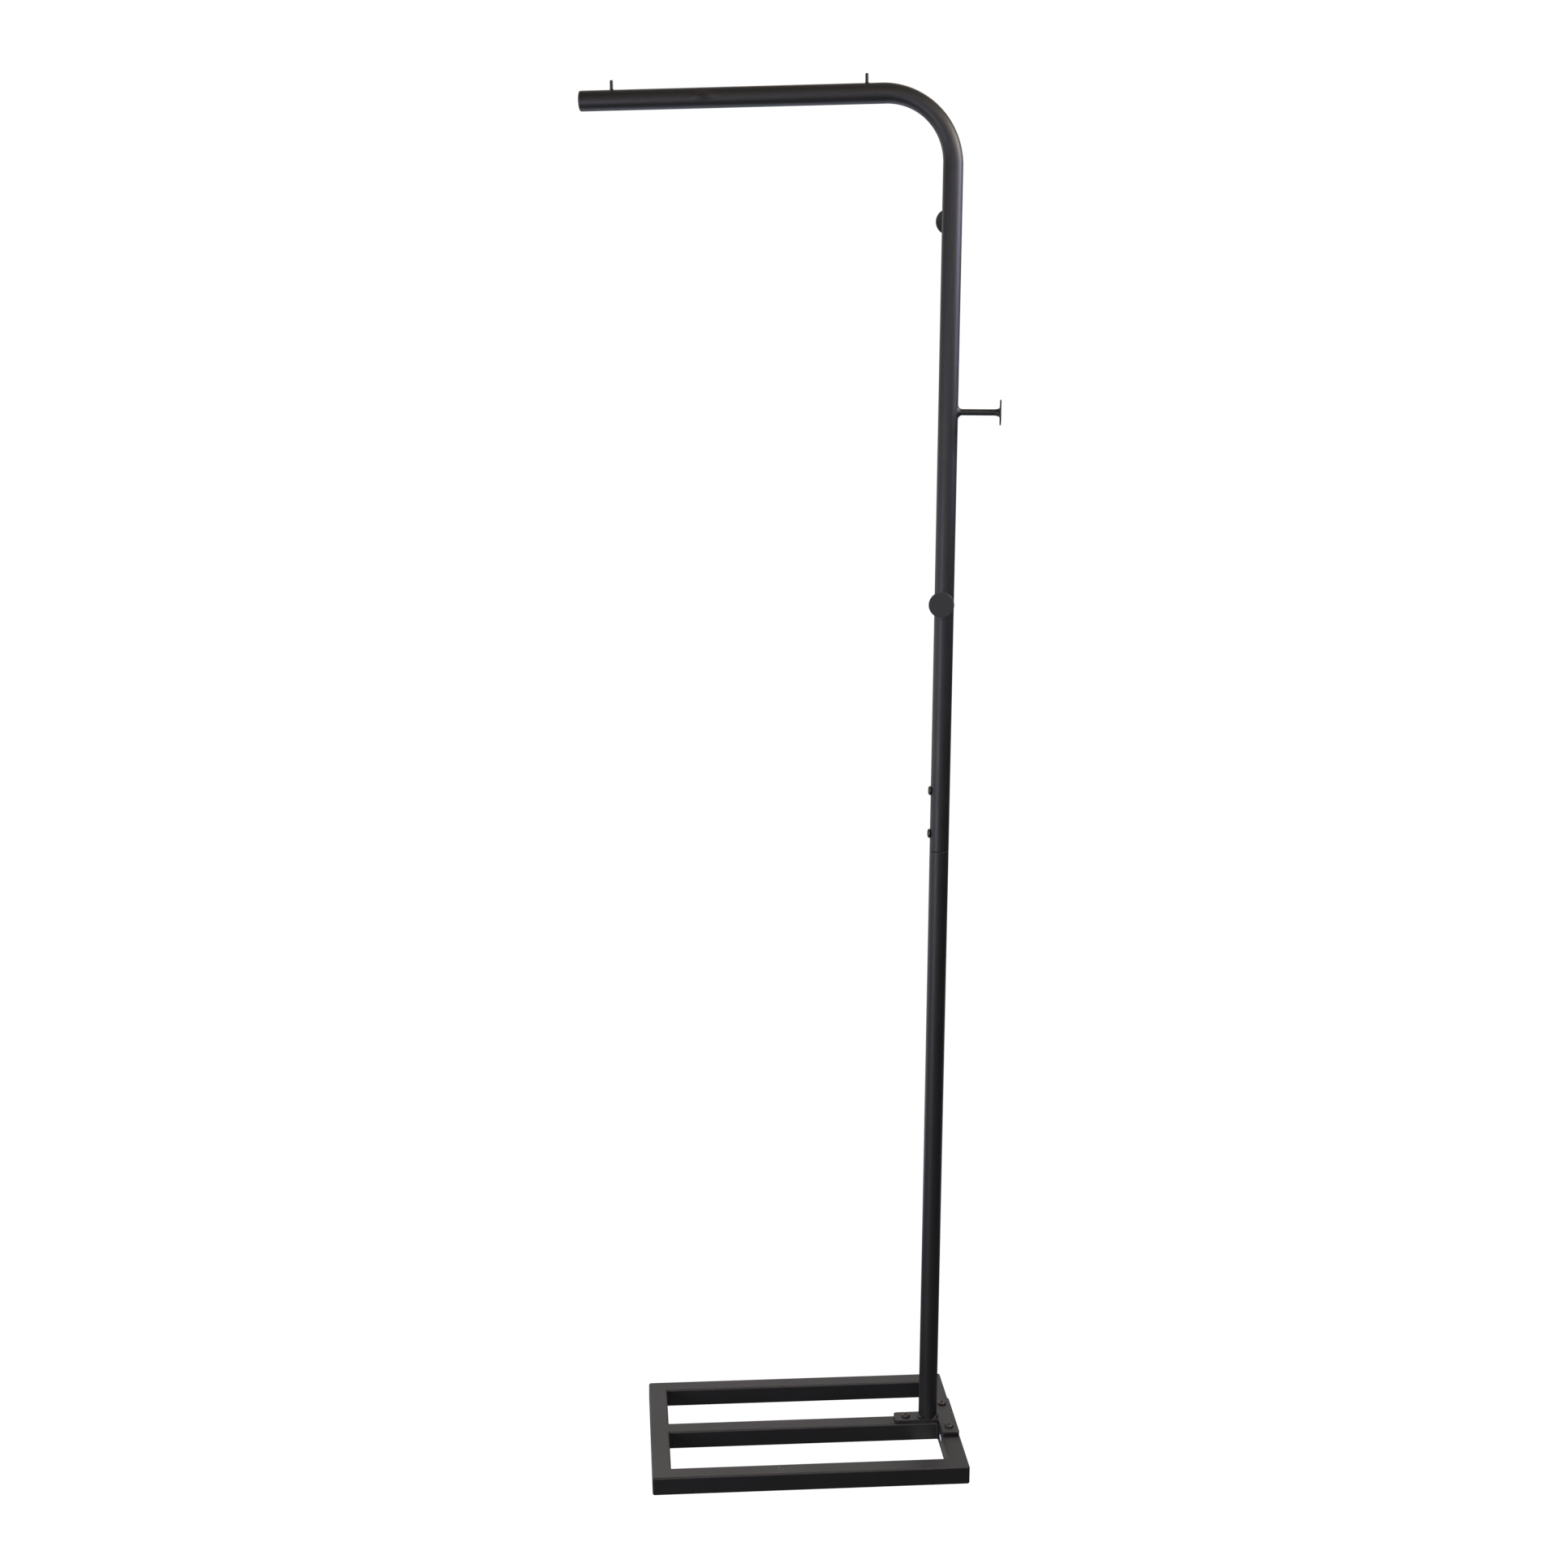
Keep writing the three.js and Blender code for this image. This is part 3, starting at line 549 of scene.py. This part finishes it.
def screw_rings(length):
    """Rings of a screw whose head sits at height 0 and whose shank points down, from rows of
    radius, height and how six-sided the ring is. A hexagon's reach is a flat's distance over
    the cosine of the angle from the flat's middle. The thread goes in and out at each half
    pitch. Also gives how much each point is rubbed."""
    count = int((length - 1.5 * MM) / (THREAD_PITCH / 2))
    down = -length + 0.5 * MM + np.arange(count) * THREAD_PITCH / 2
    thread = SHANK_RADIUS - THREAD_DEPTH * (np.arange(count) % 2)
    dome = np.linspace(0, HEAD_DOME, 9)
    rise = (HEAD_HEIGHT - HEAD_RIM) * np.sin(dome) / math.sin(dome[-1])
    profile = [(SHANK_RADIUS * 0.8, -length, 0)]
    profile += [(r, z, 0) for r, z in zip(thread, down)]
    profile += [(SHANK_RADIUS, -0.6 * MM, 0), (SHANK_RADIUS, 0, 0)]
    profile += [(HEAD_RADIUS - HEAD_BREAK, 0, 0), (HEAD_RADIUS, HEAD_BREAK, 0)]
    profile += [(HEAD_RADIUS, HEAD_RIM - HEAD_BREAK, 0)]
    profile += [(HEAD_RADIUS * math.cos(a), HEAD_RIM + z, 0) for a, z in zip(dome, rise)]
    profile += [(SOCKET_REACH + SOCKET_MOUTH, HEAD_HEIGHT, 0.6)]
    profile += [(SOCKET_REACH + 0.2 * MM, HEAD_HEIGHT - 0.05 * MM, 1)]
    profile += [(SOCKET_REACH, HEAD_HEIGHT - 0.3 * MM, 1), (SOCKET_REACH, SOCKET_FLOOR, 1)]
    profile += [(SOCKET_REACH * 0.92, SOCKET_FLOOR - 0.05 * MM, 1)]
    profile += [(0.2 * MM, SOCKET_FLOOR - 0.5 * MM, 0)]
    radius, up, six_sided = np.array(profile).T[:, :, None]
    angle = np.linspace(0, 2 * math.pi, 72, endpoint=False)
    from_flat = np.mod(angle, math.pi / 3) - math.pi / 6
    reach = radius * (1 + six_sided * (1 / np.cos(from_flat) - 1))
    rim, lip = (
        np.clip(1 - np.abs(radius - middle) / half_width, 0, 1)
        for middle, half_width in (RUBBED_RIM, RUBBED_LIP)
    )
    rubbed = 0.6 * rim * (up > 0) + lip * (up > HEAD_HEIGHT / 2)
    up = np.broadcast_to(up, reach.shape)
    return np.stack([reach * np.cos(angle), reach * np.sin(angle), up], -1), rubbed


def set_on(rings, spot, direction, twist=0.0):
    """Moves rings built about the upright axis so that this axis points along direction from
    spot. The other two axes come from cross products with whichever is not parallel."""
    up = np.asarray(direction, float)
    up /= np.linalg.norm(up)
    aside = np.cross((0, 0, 1), up) if abs(up[2]) < 0.9 else np.cross((0, 1, 0), up)
    aside /= np.linalg.norm(aside)
    third = np.cross(up, aside)
    first = math.cos(twist) * aside + math.sin(twist) * third
    second = np.cross(up, first)
    return rings[..., :1] * first + rings[..., 1:2] * second + rings[..., 2:] * up + spot


def middle_of(node):
    low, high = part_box(node)
    return np.array((low + high) / 2)


def blacked_steel(name):
    """Chemically blacked steel: dark, half glossy, rubbed to grey where a key or a hand meets
    it, with the fine rings left by the heading die."""
    material, wire, shader = new_material(name)
    place = wire.place()
    mottle = wire.noise(place, 420.0, 4.0, 0.65)
    fine = wire.noise(place, 3200.0, 2.0)
    rub = wire.node("Attribute", {"attribute_name": "rub"}, output="Fac")
    worn = wire.band(rub * (0.5 + mottle), 0.45, 1.1)
    colour = wire.blend(mottle, (0.045, 0.043, 0.038, 1), (0.08, 0.076, 0.066, 1))
    colour = wire.blend(worn * 0.6, colour, (0.22, 0.21, 0.18, 1))
    rough = 0.46 - 0.1 * worn + 0.14 * (mottle - 0.5)
    relief = wire.node("Bump", None, {
        "Strength": 0.4, "Distance": 0.00006, "Height": mottle + fine * 0.5,
    })
    connect(shader, Base_Color=colour, Roughness=rough, Normal=relief, Metallic=0.85 + 0.15 * worn)
    return material


black_screw = blacked_steel("blacked_screw_steel")
for label, twist in (("stem", 0.35), ("front", 0.1), ("back", 0.8)):
    node = "foot_screw_" + label
    x, y, _ = middle_of(node)
    rings, exposed = screw_rings(FOOT_SCREW_LENGTH)
    rings = set_on(rings, (x, y, PLATE_TOP + SEAT_GAP), (0, 0, 1), twist)
    fit(skin(node + "_head", rings, rub=exposed), black_screw, "black_screw", node)

for label, twist in (("lower", 0.3), ("upper", 1.0)):
    node = "joint_screw_" + label
    middle = middle_of(node)
    aside = (middle - POST) * (1, 1, 0)
    aside /= np.linalg.norm(aside)
    spot = POST * (1, 1, 0) + aside * (TUBE_RADIUS + 0.05 * MM) + (0, 0, middle[2])
    rings, exposed = screw_rings(JOINT_SCREW_LENGTH)
    rings = set_on(rings, spot, aside, twist)
    fit(skin(node + "_head", rings, rub=exposed), black_screw, "black_screw", node)


# ==== Sleeve and nuts ====
# A plain steel sleeve joins the two tubes from inside, and the screws bite into nuts welded
# behind their holes. All are bright zinc plated and hidden once the rack is together.


def zinc_plate(name):
    """Zinc plate: pale grey, cloudy, with faint drawn lines along the height."""
    material, wire, shader = new_material(name)
    place = wire.place()
    stretched = wire.node("Mapping", None, {"Vector": place, "Scale": (900.0, 900.0, 30.0)})
    drawn = wire.noise(stretched, 1.0, 3.0)
    cloud = wire.noise(place, 130.0, 4.0, 0.6)
    colour = wire.blend(cloud, (0.42, 0.43, 0.44, 1), (0.62, 0.62, 0.61, 1))
    relief = wire.node("Bump", None, {"Strength": 0.3, "Distance": 0.00005, "Height": drawn})
    connect(shader, Base_Color=colour, Roughness=0.25 + 0.2 * cloud, Normal=relief)
    shader.inputs["Metallic"].default_value = 1.0
    return material


plated = zinc_plate("zinc_plated_steel")
for node in (
    "joint_sleeve", "joint_nut_lower", "joint_nut_upper",
    "foot_nut_stem", "foot_nut_front", "foot_nut_back",
):
    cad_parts[node].data.materials.clear()
    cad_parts[node].data.materials.append(plated)


# ==== Upper tube ====
# The same round tube, bent once through 91 degrees on a roller so that its free length is the
# arm; the bend has gone slightly oval, as an unfilled tube does. One low oval lump of filler
# stands on the front of the arm, under the coat.

ARM_BEARING = math.radians(169)
ARM_HEIGHT = 1784 * MM
ARM_LENGTH = 463.2 * MM
BEND_RADIUS = 85 * MM
BEND_ANGLE = math.radians(91)
BEND_FLATTENING = 1.2 * MM  # off the radius, in the plane of the bend
BEND_WIDENING = 0.5 * MM  # added to the radius, square to that plane
LUMP_ALONG = 309 * MM
LUMP_SIZE = (12.5 * MM, 5.2 * MM)
LUMP_HEIGHT = 1.1 * MM
LUMP_STEEPNESS = 1.2
LUMP_TILT = math.radians(10)  # above level, on the arm's front
BEND_STEPS = 72
UPPER_SIDES = 112

upper_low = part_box("upper_tube")[0]
BEND_SETBACK = BEND_RADIUS * math.tan(BEND_ANGLE / 2)
BEND_START = ARM_HEIGHT - BEND_SETBACK - upper_low.z  # along the tube, from its foot
BEND_END = BEND_START + BEND_RADIUS * BEND_ANGLE
UPPER_LENGTH = BEND_END + ARM_LENGTH - BEND_SETBACK
out = np.array([math.cos(ARM_BEARING), math.sin(ARM_BEARING), 0])
level = np.array([-out[1], out[0], 0])
upright = np.array([0, 0, 1.0])


def bent_axis(travel):
    """Points along the tube's axis, directions to the outside of the bend, and angles turned,
    for distances from its foot: straight up, then round an arc whose angle is the distance
    past its start over the bend radius, then straight on."""
    angle = np.clip((travel - BEND_START) / BEND_RADIUS, 0, BEND_ANGLE)
    past = np.maximum(travel - BEND_END, 0)
    heading = np.sin(angle)[:, None] * out + np.cos(angle)[:, None] * upright
    outside = -np.cos(angle)[:, None] * out + np.sin(angle)[:, None] * upright
    climbed = upper_low.z + np.minimum(travel, BEND_START) + BEND_RADIUS * np.sin(angle)
    sideways = BEND_RADIUS * (1 - np.cos(angle))
    points = sideways[:, None] * out + climbed[:, None] * upright + past[:, None] * heading
    return points + POST, outside, angle


travel = np.concatenate([
    [TUBE_EDGE + HOLD], np.linspace(10 * MM, BEND_START - 4 * MM, TUBE_RINGS),
    np.linspace(BEND_START, BEND_END, BEND_STEPS),
    np.arange(BEND_END + 2 * MM, UPPER_LENGTH - 1.5 * MM, 1.8 * MM),
])
foot_radii, foot_short = cut_end(TUBE_RADIUS, TUBE_WALL, TUBE_EDGE)
tip_radii, tip_short = cut_end(TUBE_RADIUS, TUBE_WALL, TUBE_EDGE * 0.6)
bore_travel = travel[::-1][::3]
radius = np.concatenate([foot_radii[::-1], np.full_like(travel, TUBE_RADIUS), tip_radii,
                         np.full_like(bore_travel, TUBE_RADIUS - TUBE_WALL)])
travel = np.concatenate([foot_short[::-1], travel, UPPER_LENGTH - tip_short, bore_travel])
points, outside_way, angle = bent_axis(travel)
around = np.linspace(0, 2 * math.pi, UPPER_SIDES, endpoint=False)
bending = np.sin(np.clip(angle / BEND_ANGLE, 0, 1) * math.pi)[:, None]
squeeze = bending * (BEND_FLATTENING * np.cos(around) ** 2 - BEND_WIDENING * np.sin(around) ** 2)
along_arm = (travel - BEND_END + BEND_SETBACK)[:, None]
front = math.radians(-90) + LUMP_TILT
on_arc = (np.mod(around - front + math.pi, 2 * math.pi) - math.pi) * TUBE_RADIUS
apart = ((along_arm - LUMP_ALONG) / LUMP_SIZE[0]) ** 2 + (on_arc / LUMP_SIZE[1]) ** 2
raised = LUMP_HEIGHT * np.exp(-LUMP_STEEPNESS * apart ** 2)
raised *= radius[:, None] > TUBE_RADIUS - MM  # on the outside only
reach = radius[:, None] - squeeze + raised
rings = (
    points[:, None] + (reach * np.cos(around))[..., None] * outside_way[:, None]
    - (reach * np.sin(around))[..., None] * level
)
upper = skin("upper_post_tube", rings, closed=True, rub=0.1)
fit(upper, post_coat, "powder_coat", "upper_tube")


# ==== Disc hooks ====
# Each is an 8 mm steel peg welded square to the post, with a 32 mm disc welded on its end to
# keep straps from slipping off. Welds are left as laid; all is coated with the post.

PEG_RADIUS = 4 * MM
DISC_RADIUS = 16 * MM
DISC_THICKNESS = 2 * MM
DISC_EDGE = 0.5 * MM
DISC_REACH = TUBE_RADIUS + 54 * MM
ROOT_SPREAD = 5.2 * MM
ROOT_LENGTH = 5 * MM
ROOT_NARROWING = 0.78
NECK_SPREAD = 2.9 * MM
NECK_LENGTH = 7 * MM
WELD_SUNK = 0.4 * MM  # how far the hooks' welds reach into the post, the peg and the disc
PEG_RINGS = 12
ROD_SIDES = 64
BEAD_SIDES = 96


def saddle(rod_radius, spread, length, narrowing, sides=BEAD_SIDES, steps=12, rough=0.0):
    """A bead round a rod where it leaves the post: a hollow quarter circle carried round the
    rod, whose foot follows the post. The post's surface is at the square root of its radius
    squared less the distance aside squared. The first axis here lies across the post, the
    second along it and the third out along the rod."""
    angle = np.linspace(0, 2 * math.pi, sides, endpoint=False)
    wave = scales(angle * (rod_radius + spread / 2), rough)
    off_rod, off_post = hollow_fillet(steps)
    wide = rod_radius + np.outer(off_rod, spread + wave)
    share = off_rod[:, None]
    aside = wide * np.cos(angle) * (1 - (1 - narrowing) * share)
    high = wide * np.sin(angle)
    surface = np.sqrt(np.maximum(TUBE_RADIUS ** 2 - aside ** 2, 0))
    away = surface + np.outer(off_post, length + wave)
    rows = np.stack([aside, high, away], -1)
    under = rows[:1] - (0, 0, WELD_SUNK)
    narrower = (rod_radius - BURIED) / rod_radius
    inner = rows[-1:] * (narrower, narrower, 1)
    low = inner - (0, 0, length + WELD_SUNK)
    return np.concatenate([rows, inner, low, under])


def domed(turn, radius):
    """How far in and how far down a rounded edge lies at each angle of its turn."""
    return radius * (1 - np.cos(turn)), radius * (1 - np.sin(turn))


quarter_turn = np.linspace(0, math.pi / 2, 6)
for hook in ("hook_front", "hook_right", "hook_back"):
    middle = middle_of(hook + "_disc")
    aside = (middle - POST) * (1, 1, 0)
    aside /= np.linalg.norm(aside)
    foot = POST * (1, 1, 0) + (0, 0, middle[2])

    levels = np.linspace(TUBE_RADIUS - MM, DISC_REACH - MM, PEG_RINGS)
    rings = round_about([PEG_RADIUS] * PEG_RINGS, levels, ROD_SIDES)
    peg = skin(hook + "_peg_rod", set_on(rings, foot, aside))
    fit(peg, post_coat, "powder_coat", hook + "_peg")

    rings = saddle(PEG_RADIUS, ROOT_SPREAD, ROOT_LENGTH, ROOT_NARROWING, rough=0.28 * MM)
    root = skin(hook + "_root_bead", set_on(rings, foot, aside), closed=True, rub=0.25, crease=60)
    fit(root, post_coat, "powder_coat", hook + "_root_weld")

    disc_back = DISC_REACH - DISC_THICKNESS
    off_rod, off_disc = hollow_fillet(12)
    circle = np.linspace(0, 2 * math.pi, BEAD_SIDES, endpoint=False)
    wave = scales(circle * (PEG_RADIUS + MM), 0.14 * MM)
    wide = PEG_RADIUS + np.outer(off_rod, NECK_SPREAD + wave)
    out_along = disc_back - np.outer(off_disc, NECK_LENGTH + wave)
    in_peg = np.full_like(wide[:1], PEG_RADIUS - WELD_SUNK)
    in_disc = out_along[:1] + WELD_SUNK
    wide = np.concatenate([wide, in_peg, in_peg, wide[:1]])
    out_along = np.concatenate([out_along, out_along[-1:], in_disc, in_disc])
    rings = np.stack([wide * np.cos(circle), wide * np.sin(circle), out_along], -1)
    neck = skin(hook + "_neck_bead", set_on(rings, foot, aside), closed=True, rub=0.25, crease=60)
    fit(neck, post_coat, "powder_coat", hook + "_disc_weld")

    inward, down = domed(quarter_turn, DISC_EDGE)
    flat = [DISC_RADIUS - DISC_EDGE - HOLD]
    radii = np.concatenate([flat, (DISC_RADIUS - inward)[::-1], DISC_RADIUS - inward, flat])
    levels = np.concatenate([
        [disc_back], disc_back + down[::-1], DISC_REACH - down, [DISC_REACH]
    ])
    edge = np.sin(2 * quarter_turn)
    exposed = np.concatenate([[0], edge[::-1], edge, [0]])[:, None]
    rings = round_about(radii, levels, TUBE_SIDES)
    disc = skin(hook + "_disc_plate", set_on(rings, foot, aside), rub=exposed)
    fit(disc, post_coat, "powder_coat", hook + "_disc")


# ==== Stop pins ====
# Two 4 mm steel pins welded into the top of the arm, near its end and just past the bend, so
# that hangers stay between them. Their tips are rounded over and a small bead runs round each.

PIN_RADIUS = 2 * MM
PIN_HEIGHT = 11.5 * MM
PIN_TIP = 1.2 * MM
PIN_BEAD = 1.4 * MM
PIN_SUNK = 1.6 * MM
drop = BEND_ANGLE - math.pi / 2
arm_way = math.cos(drop) * out - math.sin(drop) * upright
arm_top = math.sin(drop) * out + math.cos(drop) * upright
for node in ("stop_pin_outer", "stop_pin_inner"):
    along = (middle_of(node) - POST) @ out / math.cos(drop)
    rows = saddle(PIN_RADIUS, PIN_BEAD, PIN_BEAD, 1.0, ROD_SIDES, 8)[:-3]
    inward, down = domed(quarter_turn, PIN_TIP)
    top = TUBE_RADIUS + PIN_HEIGHT
    tip_rows = round_about(PIN_RADIUS - inward, top - down, ROD_SIDES)
    shaft_levels = np.linspace(TUBE_RADIUS + 2 * MM, top - 2 * MM, 4)
    shaft = round_about([PIN_RADIUS] * 4, shaft_levels, ROD_SIDES)
    under = round_about([PIN_RADIUS + PIN_BEAD], [TUBE_RADIUS - PIN_SUNK], ROD_SIDES)
    rings = np.concatenate([under, rows, shaft, tip_rows])
    axis_foot = POST + upright * ARM_HEIGHT + arm_way * along
    first, second = np.cross(arm_way, arm_top), arm_way
    rings = (rings[..., :1] * first + rings[..., 1:2] * second + rings[..., 2:] * arm_top
             + axis_foot)
    hidden = np.zeros(len(rings) - len(tip_rows))
    exposed = np.concatenate([hidden, np.linspace(0.2, 1, len(tip_rows))])[:, None]
    fit(skin(node + "_rod", rings, rub=exposed), post_coat, "powder_coat", node)


# ==== End cap ====
# A moulded black plastic plug pushed into the arm's open end: a hollow skirt grips the bore
# and a low domed head as wide as the tube closes it.

CAP_HEAD = 2.45 * MM
CAP_EDGE = 1.8 * MM
CAP_SKIRT = 12 * MM
CAP_WALL = 1.8 * MM
CAP_LIP = 0.3 * MM  # the skirt's lead-in, its clearance and where its head starts
CAP_SEAT = 0.05 * MM
SKIRT_RADIUS = TUBE_RADIUS - TUBE_WALL - CAP_LIP


def moulded_plastic(name, deep, pale):
    """Moulded plastic with a fine spark-eroded grain and slight flow marks."""
    material, wire, shader = new_material(name)
    place = wire.place()
    grain = wire.noise(place, 1900.0, 3.0, 0.6)
    flow = wire.noise(place, 90.0, 3.0)
    rub = wire.node("Attribute", {"attribute_name": "rub"}, output="Fac")
    colour = wire.blend(flow, deep, pale)
    colour = wire.blend(rub * 0.3, colour, (0.06, 0.06, 0.062, 1))
    relief = wire.node("Bump", None, {"Strength": 0.5, "Distance": 0.00006, "Height": grain})
    rough = 0.5 + 0.16 * (flow - 0.5) + 0.1 * (grain - 0.5)
    connect(shader, Base_Color=colour, Roughness=rough, Normal=relief)
    return material


inward, down = domed(quarter_turn, CAP_EDGE)
cap_top = CAP_LIP + CAP_HEAD
skirt_bore = SKIRT_RADIUS - CAP_WALL
skirt = np.array([  # radius and level, from the middle of the skirt's bore to under the head
    (0.5 * MM, 0), (skirt_bore, 0), (skirt_bore, -CAP_SKIRT),
    (SKIRT_RADIUS - CAP_LIP, -CAP_SKIRT), (SKIRT_RADIUS, -CAP_SKIRT + CAP_LIP),
    (SKIRT_RADIUS, CAP_SEAT), (TUBE_RADIUS - 0.2 * MM, CAP_SEAT),
])
crown = np.array([(TUBE_RADIUS - CAP_EDGE - MM, cap_top), (MM, cap_top)])
radii = np.concatenate([skirt[:, 0], TUBE_RADIUS - inward, crown[:, 0]])
levels = np.concatenate([skirt[:, 1], cap_top - down, crown[:, 1]])
exposed = np.zeros(len(radii))
exposed[len(skirt):-len(crown)] = np.sin(2 * quarter_turn)
rings = round_about(radii, levels, TUBE_SIDES)
cap_foot = POST + upright * ARM_HEIGHT + arm_way * ARM_LENGTH
cap = skin("arm_cap_plug", set_on(rings, cap_foot, arm_way), rub=exposed[:, None])
cap_plastic = moulded_plastic(
    "cap_black_plastic", (0.014, 0.014, 0.015, 1), (0.02, 0.02, 0.021, 1)
)
fit(cap, cap_plastic, "cap_plastic", "arm_end_cap")


# ==== Studio ====
# A white sweep that lights nothing, softboxes in place of a bright room (a pale wall behind,
# windows and a warm wall to the left, lamps and a window high on the right, a ceiling, and
# the light that a pale floor throws back up), and the camera.

FLOOR_HALF = 9
FLOOR_DROP = 0.5 * MM  # below the bars, so that the two faces don't flicker
WHITE = 1.02  # just past full white
AIR_LIGHT = 0.01


def glow(name, colour, strength):
    """A surface that shines evenly from its face and is clear from behind."""
    material = bpy.data.materials.new(name)
    material.use_nodes = True
    tree = material.node_tree
    tree.nodes.clear()
    wire = Wire(tree)
    light = wire.node("Emission", None, {"Color": colour, "Strength": strength})
    clear = wire.node("BsdfTransparent")
    behind = wire.node("NewGeometry", output="Backfacing")
    either = wire.node("MixShader", None, {0: behind, 1: light, 2: clear})
    ending = tree.nodes.new("ShaderNodeOutputMaterial")
    tree.links.new(either.socket, ending.inputs["Surface"])
    return material


floor_mesh = bpy.data.meshes.new("studio_floor")
floor_corners = [
    (x * FLOOR_HALF, y * FLOOR_HALF, -FLOOR_DROP) for x, y in ((-1, -1), (1, -1), (1, 1), (-1, 1))
]
floor_mesh.from_pydata(floor_corners, [], [(0, 1, 2, 3)])
floor_mesh.materials.append(glow("white_sweep", (1, 1, 1, 1), WHITE))
floor = bpy.data.objects.new("studio_floor", floor_mesh)
bpy.context.scene.collection.objects.link(floor)
for ray in ("diffuse", "glossy", "transmission", "shadow"):
    setattr(floor, "visible_" + ray, False)

world = bpy.data.worlds.new("studio_air")
bpy.context.scene.world = world
world.use_nodes = True
tree = world.node_tree
tree.nodes.clear()
air = Wire(tree)
seen = air.node("LightPath", output="Is Camera Ray")
white = air.node("Background", None, {"Color": (1, 1, 1, 1), "Strength": WHITE})
dim = air.node("Background", None, {"Color": (1, 1, 1, 1), "Strength": AIR_LIGHT})
mixed = air.node("MixShader", None, {0: seen, 1: dim, 2: white})
ending = tree.nodes.new("ShaderNodeOutputWorld")
tree.links.new(mixed.socket, ending.inputs["Surface"])


def softbox(name, spot, target, size, power, colour):
    """A rectangular lamp at a spot, facing a target."""
    lamp = bpy.data.lights.new(name, "AREA")
    lamp.shape = "RECTANGLE"
    lamp.size, lamp.size_y = size
    lamp.energy = power
    lamp.color = colour
    holder = bpy.data.objects.new(name, lamp)
    bpy.context.scene.collection.objects.link(holder)
    way = Vector(target) - Vector(spot)
    holder.location = spot
    holder.rotation_euler = way.to_track_quat("-Z", "Y").to_euler()
    holder.visible_camera = False


FIGURE = (0.1, 0, 0.9)
POST_TOP = (0.17, 0, 1.6)
softbox("back_wall_right", (2.4, 3, 1.5), FIGURE, (2.2, 3), 14, (0.95, 1, 0.95))
softbox("back_wall", (0, 3.4, 1.5), FIGURE, (2.2, 3), 18, (1, 0.91, 0.99))
softbox("back_wall_left", (-2.4, 3, 1.5), FIGURE, (2.2, 3), 31, (0.9, 0.95, 1))
softbox("floor_behind", (0, 1.6, -0.02), (0, 1.6, 1), (3, 2), 35.2, (0.76, 0.83, 1))
softbox("floor_beneath", (0.1, 0, -0.0004), (0.1, 0, 1), (2.4, 2.4), 2.4, (1, 0.92, 0.95))
softbox(
    "floor_in_window", (0.167, -0.05, -0.0003), (0.167, -0.05, 1), (0.03, 0.07), 0.003, (1, 1, 1)
)
softbox("front_room", (-0.2, -3.6, 1.7), FIGURE, (1.5, 1.2), 29, (0.9, 0.86, 1))
softbox("left_window_low", (-1.9, -2, 0.6), (0.15, 0, 0.6), (0.7, 1), 33.7, (1, 0.95, 0.98))
softbox("left_front", (-2.6, -2.2, 1.3), FIGURE, (1.2, 1.6), 2.5, (0, 0, 1))
softbox("left_window", (-2.9, -1.1, 0.9), (0.1, 0, 0.8), (0.8, 1.4), 20, (0.22, 0.42, 1))
softbox("left_floor", (-2.4, 0.8, 0.5), (0.17, 0, 0.3), (1.6, 1), 9.9, (0.94, 1, 0.94))
softbox("left_wall", (-3, 0, 1.2), FIGURE, (1.6, 1.6), 12.9, (1, 0.64, 0.19))
softbox("right_lamp", (1.2, -0.1, 2.15), POST_TOP, (0.45, 0.45), 15.2, (1, 0.84, 0.62))
softbox("right_lamp_low", (1.1, -0.2, 1.75), (0.17, 0, 1.4), (0.45, 0.45), 9.9, (0.55, 0.6, 1))
softbox("right_front_window", (1.6, -1.8, 2.6), (0.17, 0, 1.4), (0.9, 0.9), 24.4, (1, 0.98, 0.96))
softbox("ceiling_back", (0, 2.5, 3.2), (0, 0, 0.8), (3, 1.5), 38.5, (1, 0.9, 0.81))
softbox("ceiling_middle", (0.1, 0.2, 3.4), (0.1, 0, 0), (2.2, 2.2), 7.5, (1, 0.9, 0.85))
softbox("ceiling_front", (0, -2.5, 3.2), (0, 0, 0.8), (3, 1.5), 20.6, (1, 0.83, 0.65))

SENSOR = 36
LENS = 48.06
CAMERA_SPOT = (-0.2493, -2.6468, 1.4512)
YAW, PITCH, ROLL = (math.radians(a) for a in (4.6975, 11.2389, -0.33))
ahead = np.array([math.sin(YAW) * math.cos(PITCH), math.cos(YAW) * math.cos(PITCH),
                  -math.sin(PITCH)])
level_right = np.array([math.cos(YAW), -math.sin(YAW), 0])
level_down = np.cross(ahead, level_right)
right = math.cos(ROLL) * level_right + math.sin(ROLL) * level_down
down = -math.sin(ROLL) * level_right + math.cos(ROLL) * level_down
lens = bpy.data.cameras.new("camera")
lens.lens = LENS
lens.sensor_width = SENSOR
camera = bpy.data.objects.new("camera", lens)
bpy.context.scene.collection.objects.link(camera)
matrix = np.eye(4)
matrix[:3, :3] = np.stack([right, -down, -ahead], 1)
matrix[:3, 3] = CAMERA_SPOT
camera.matrix_world = Matrix(matrix.tolist())
bpy.context.scene.camera = camera
bpy.context.scene.view_settings.view_transform = "Standard"
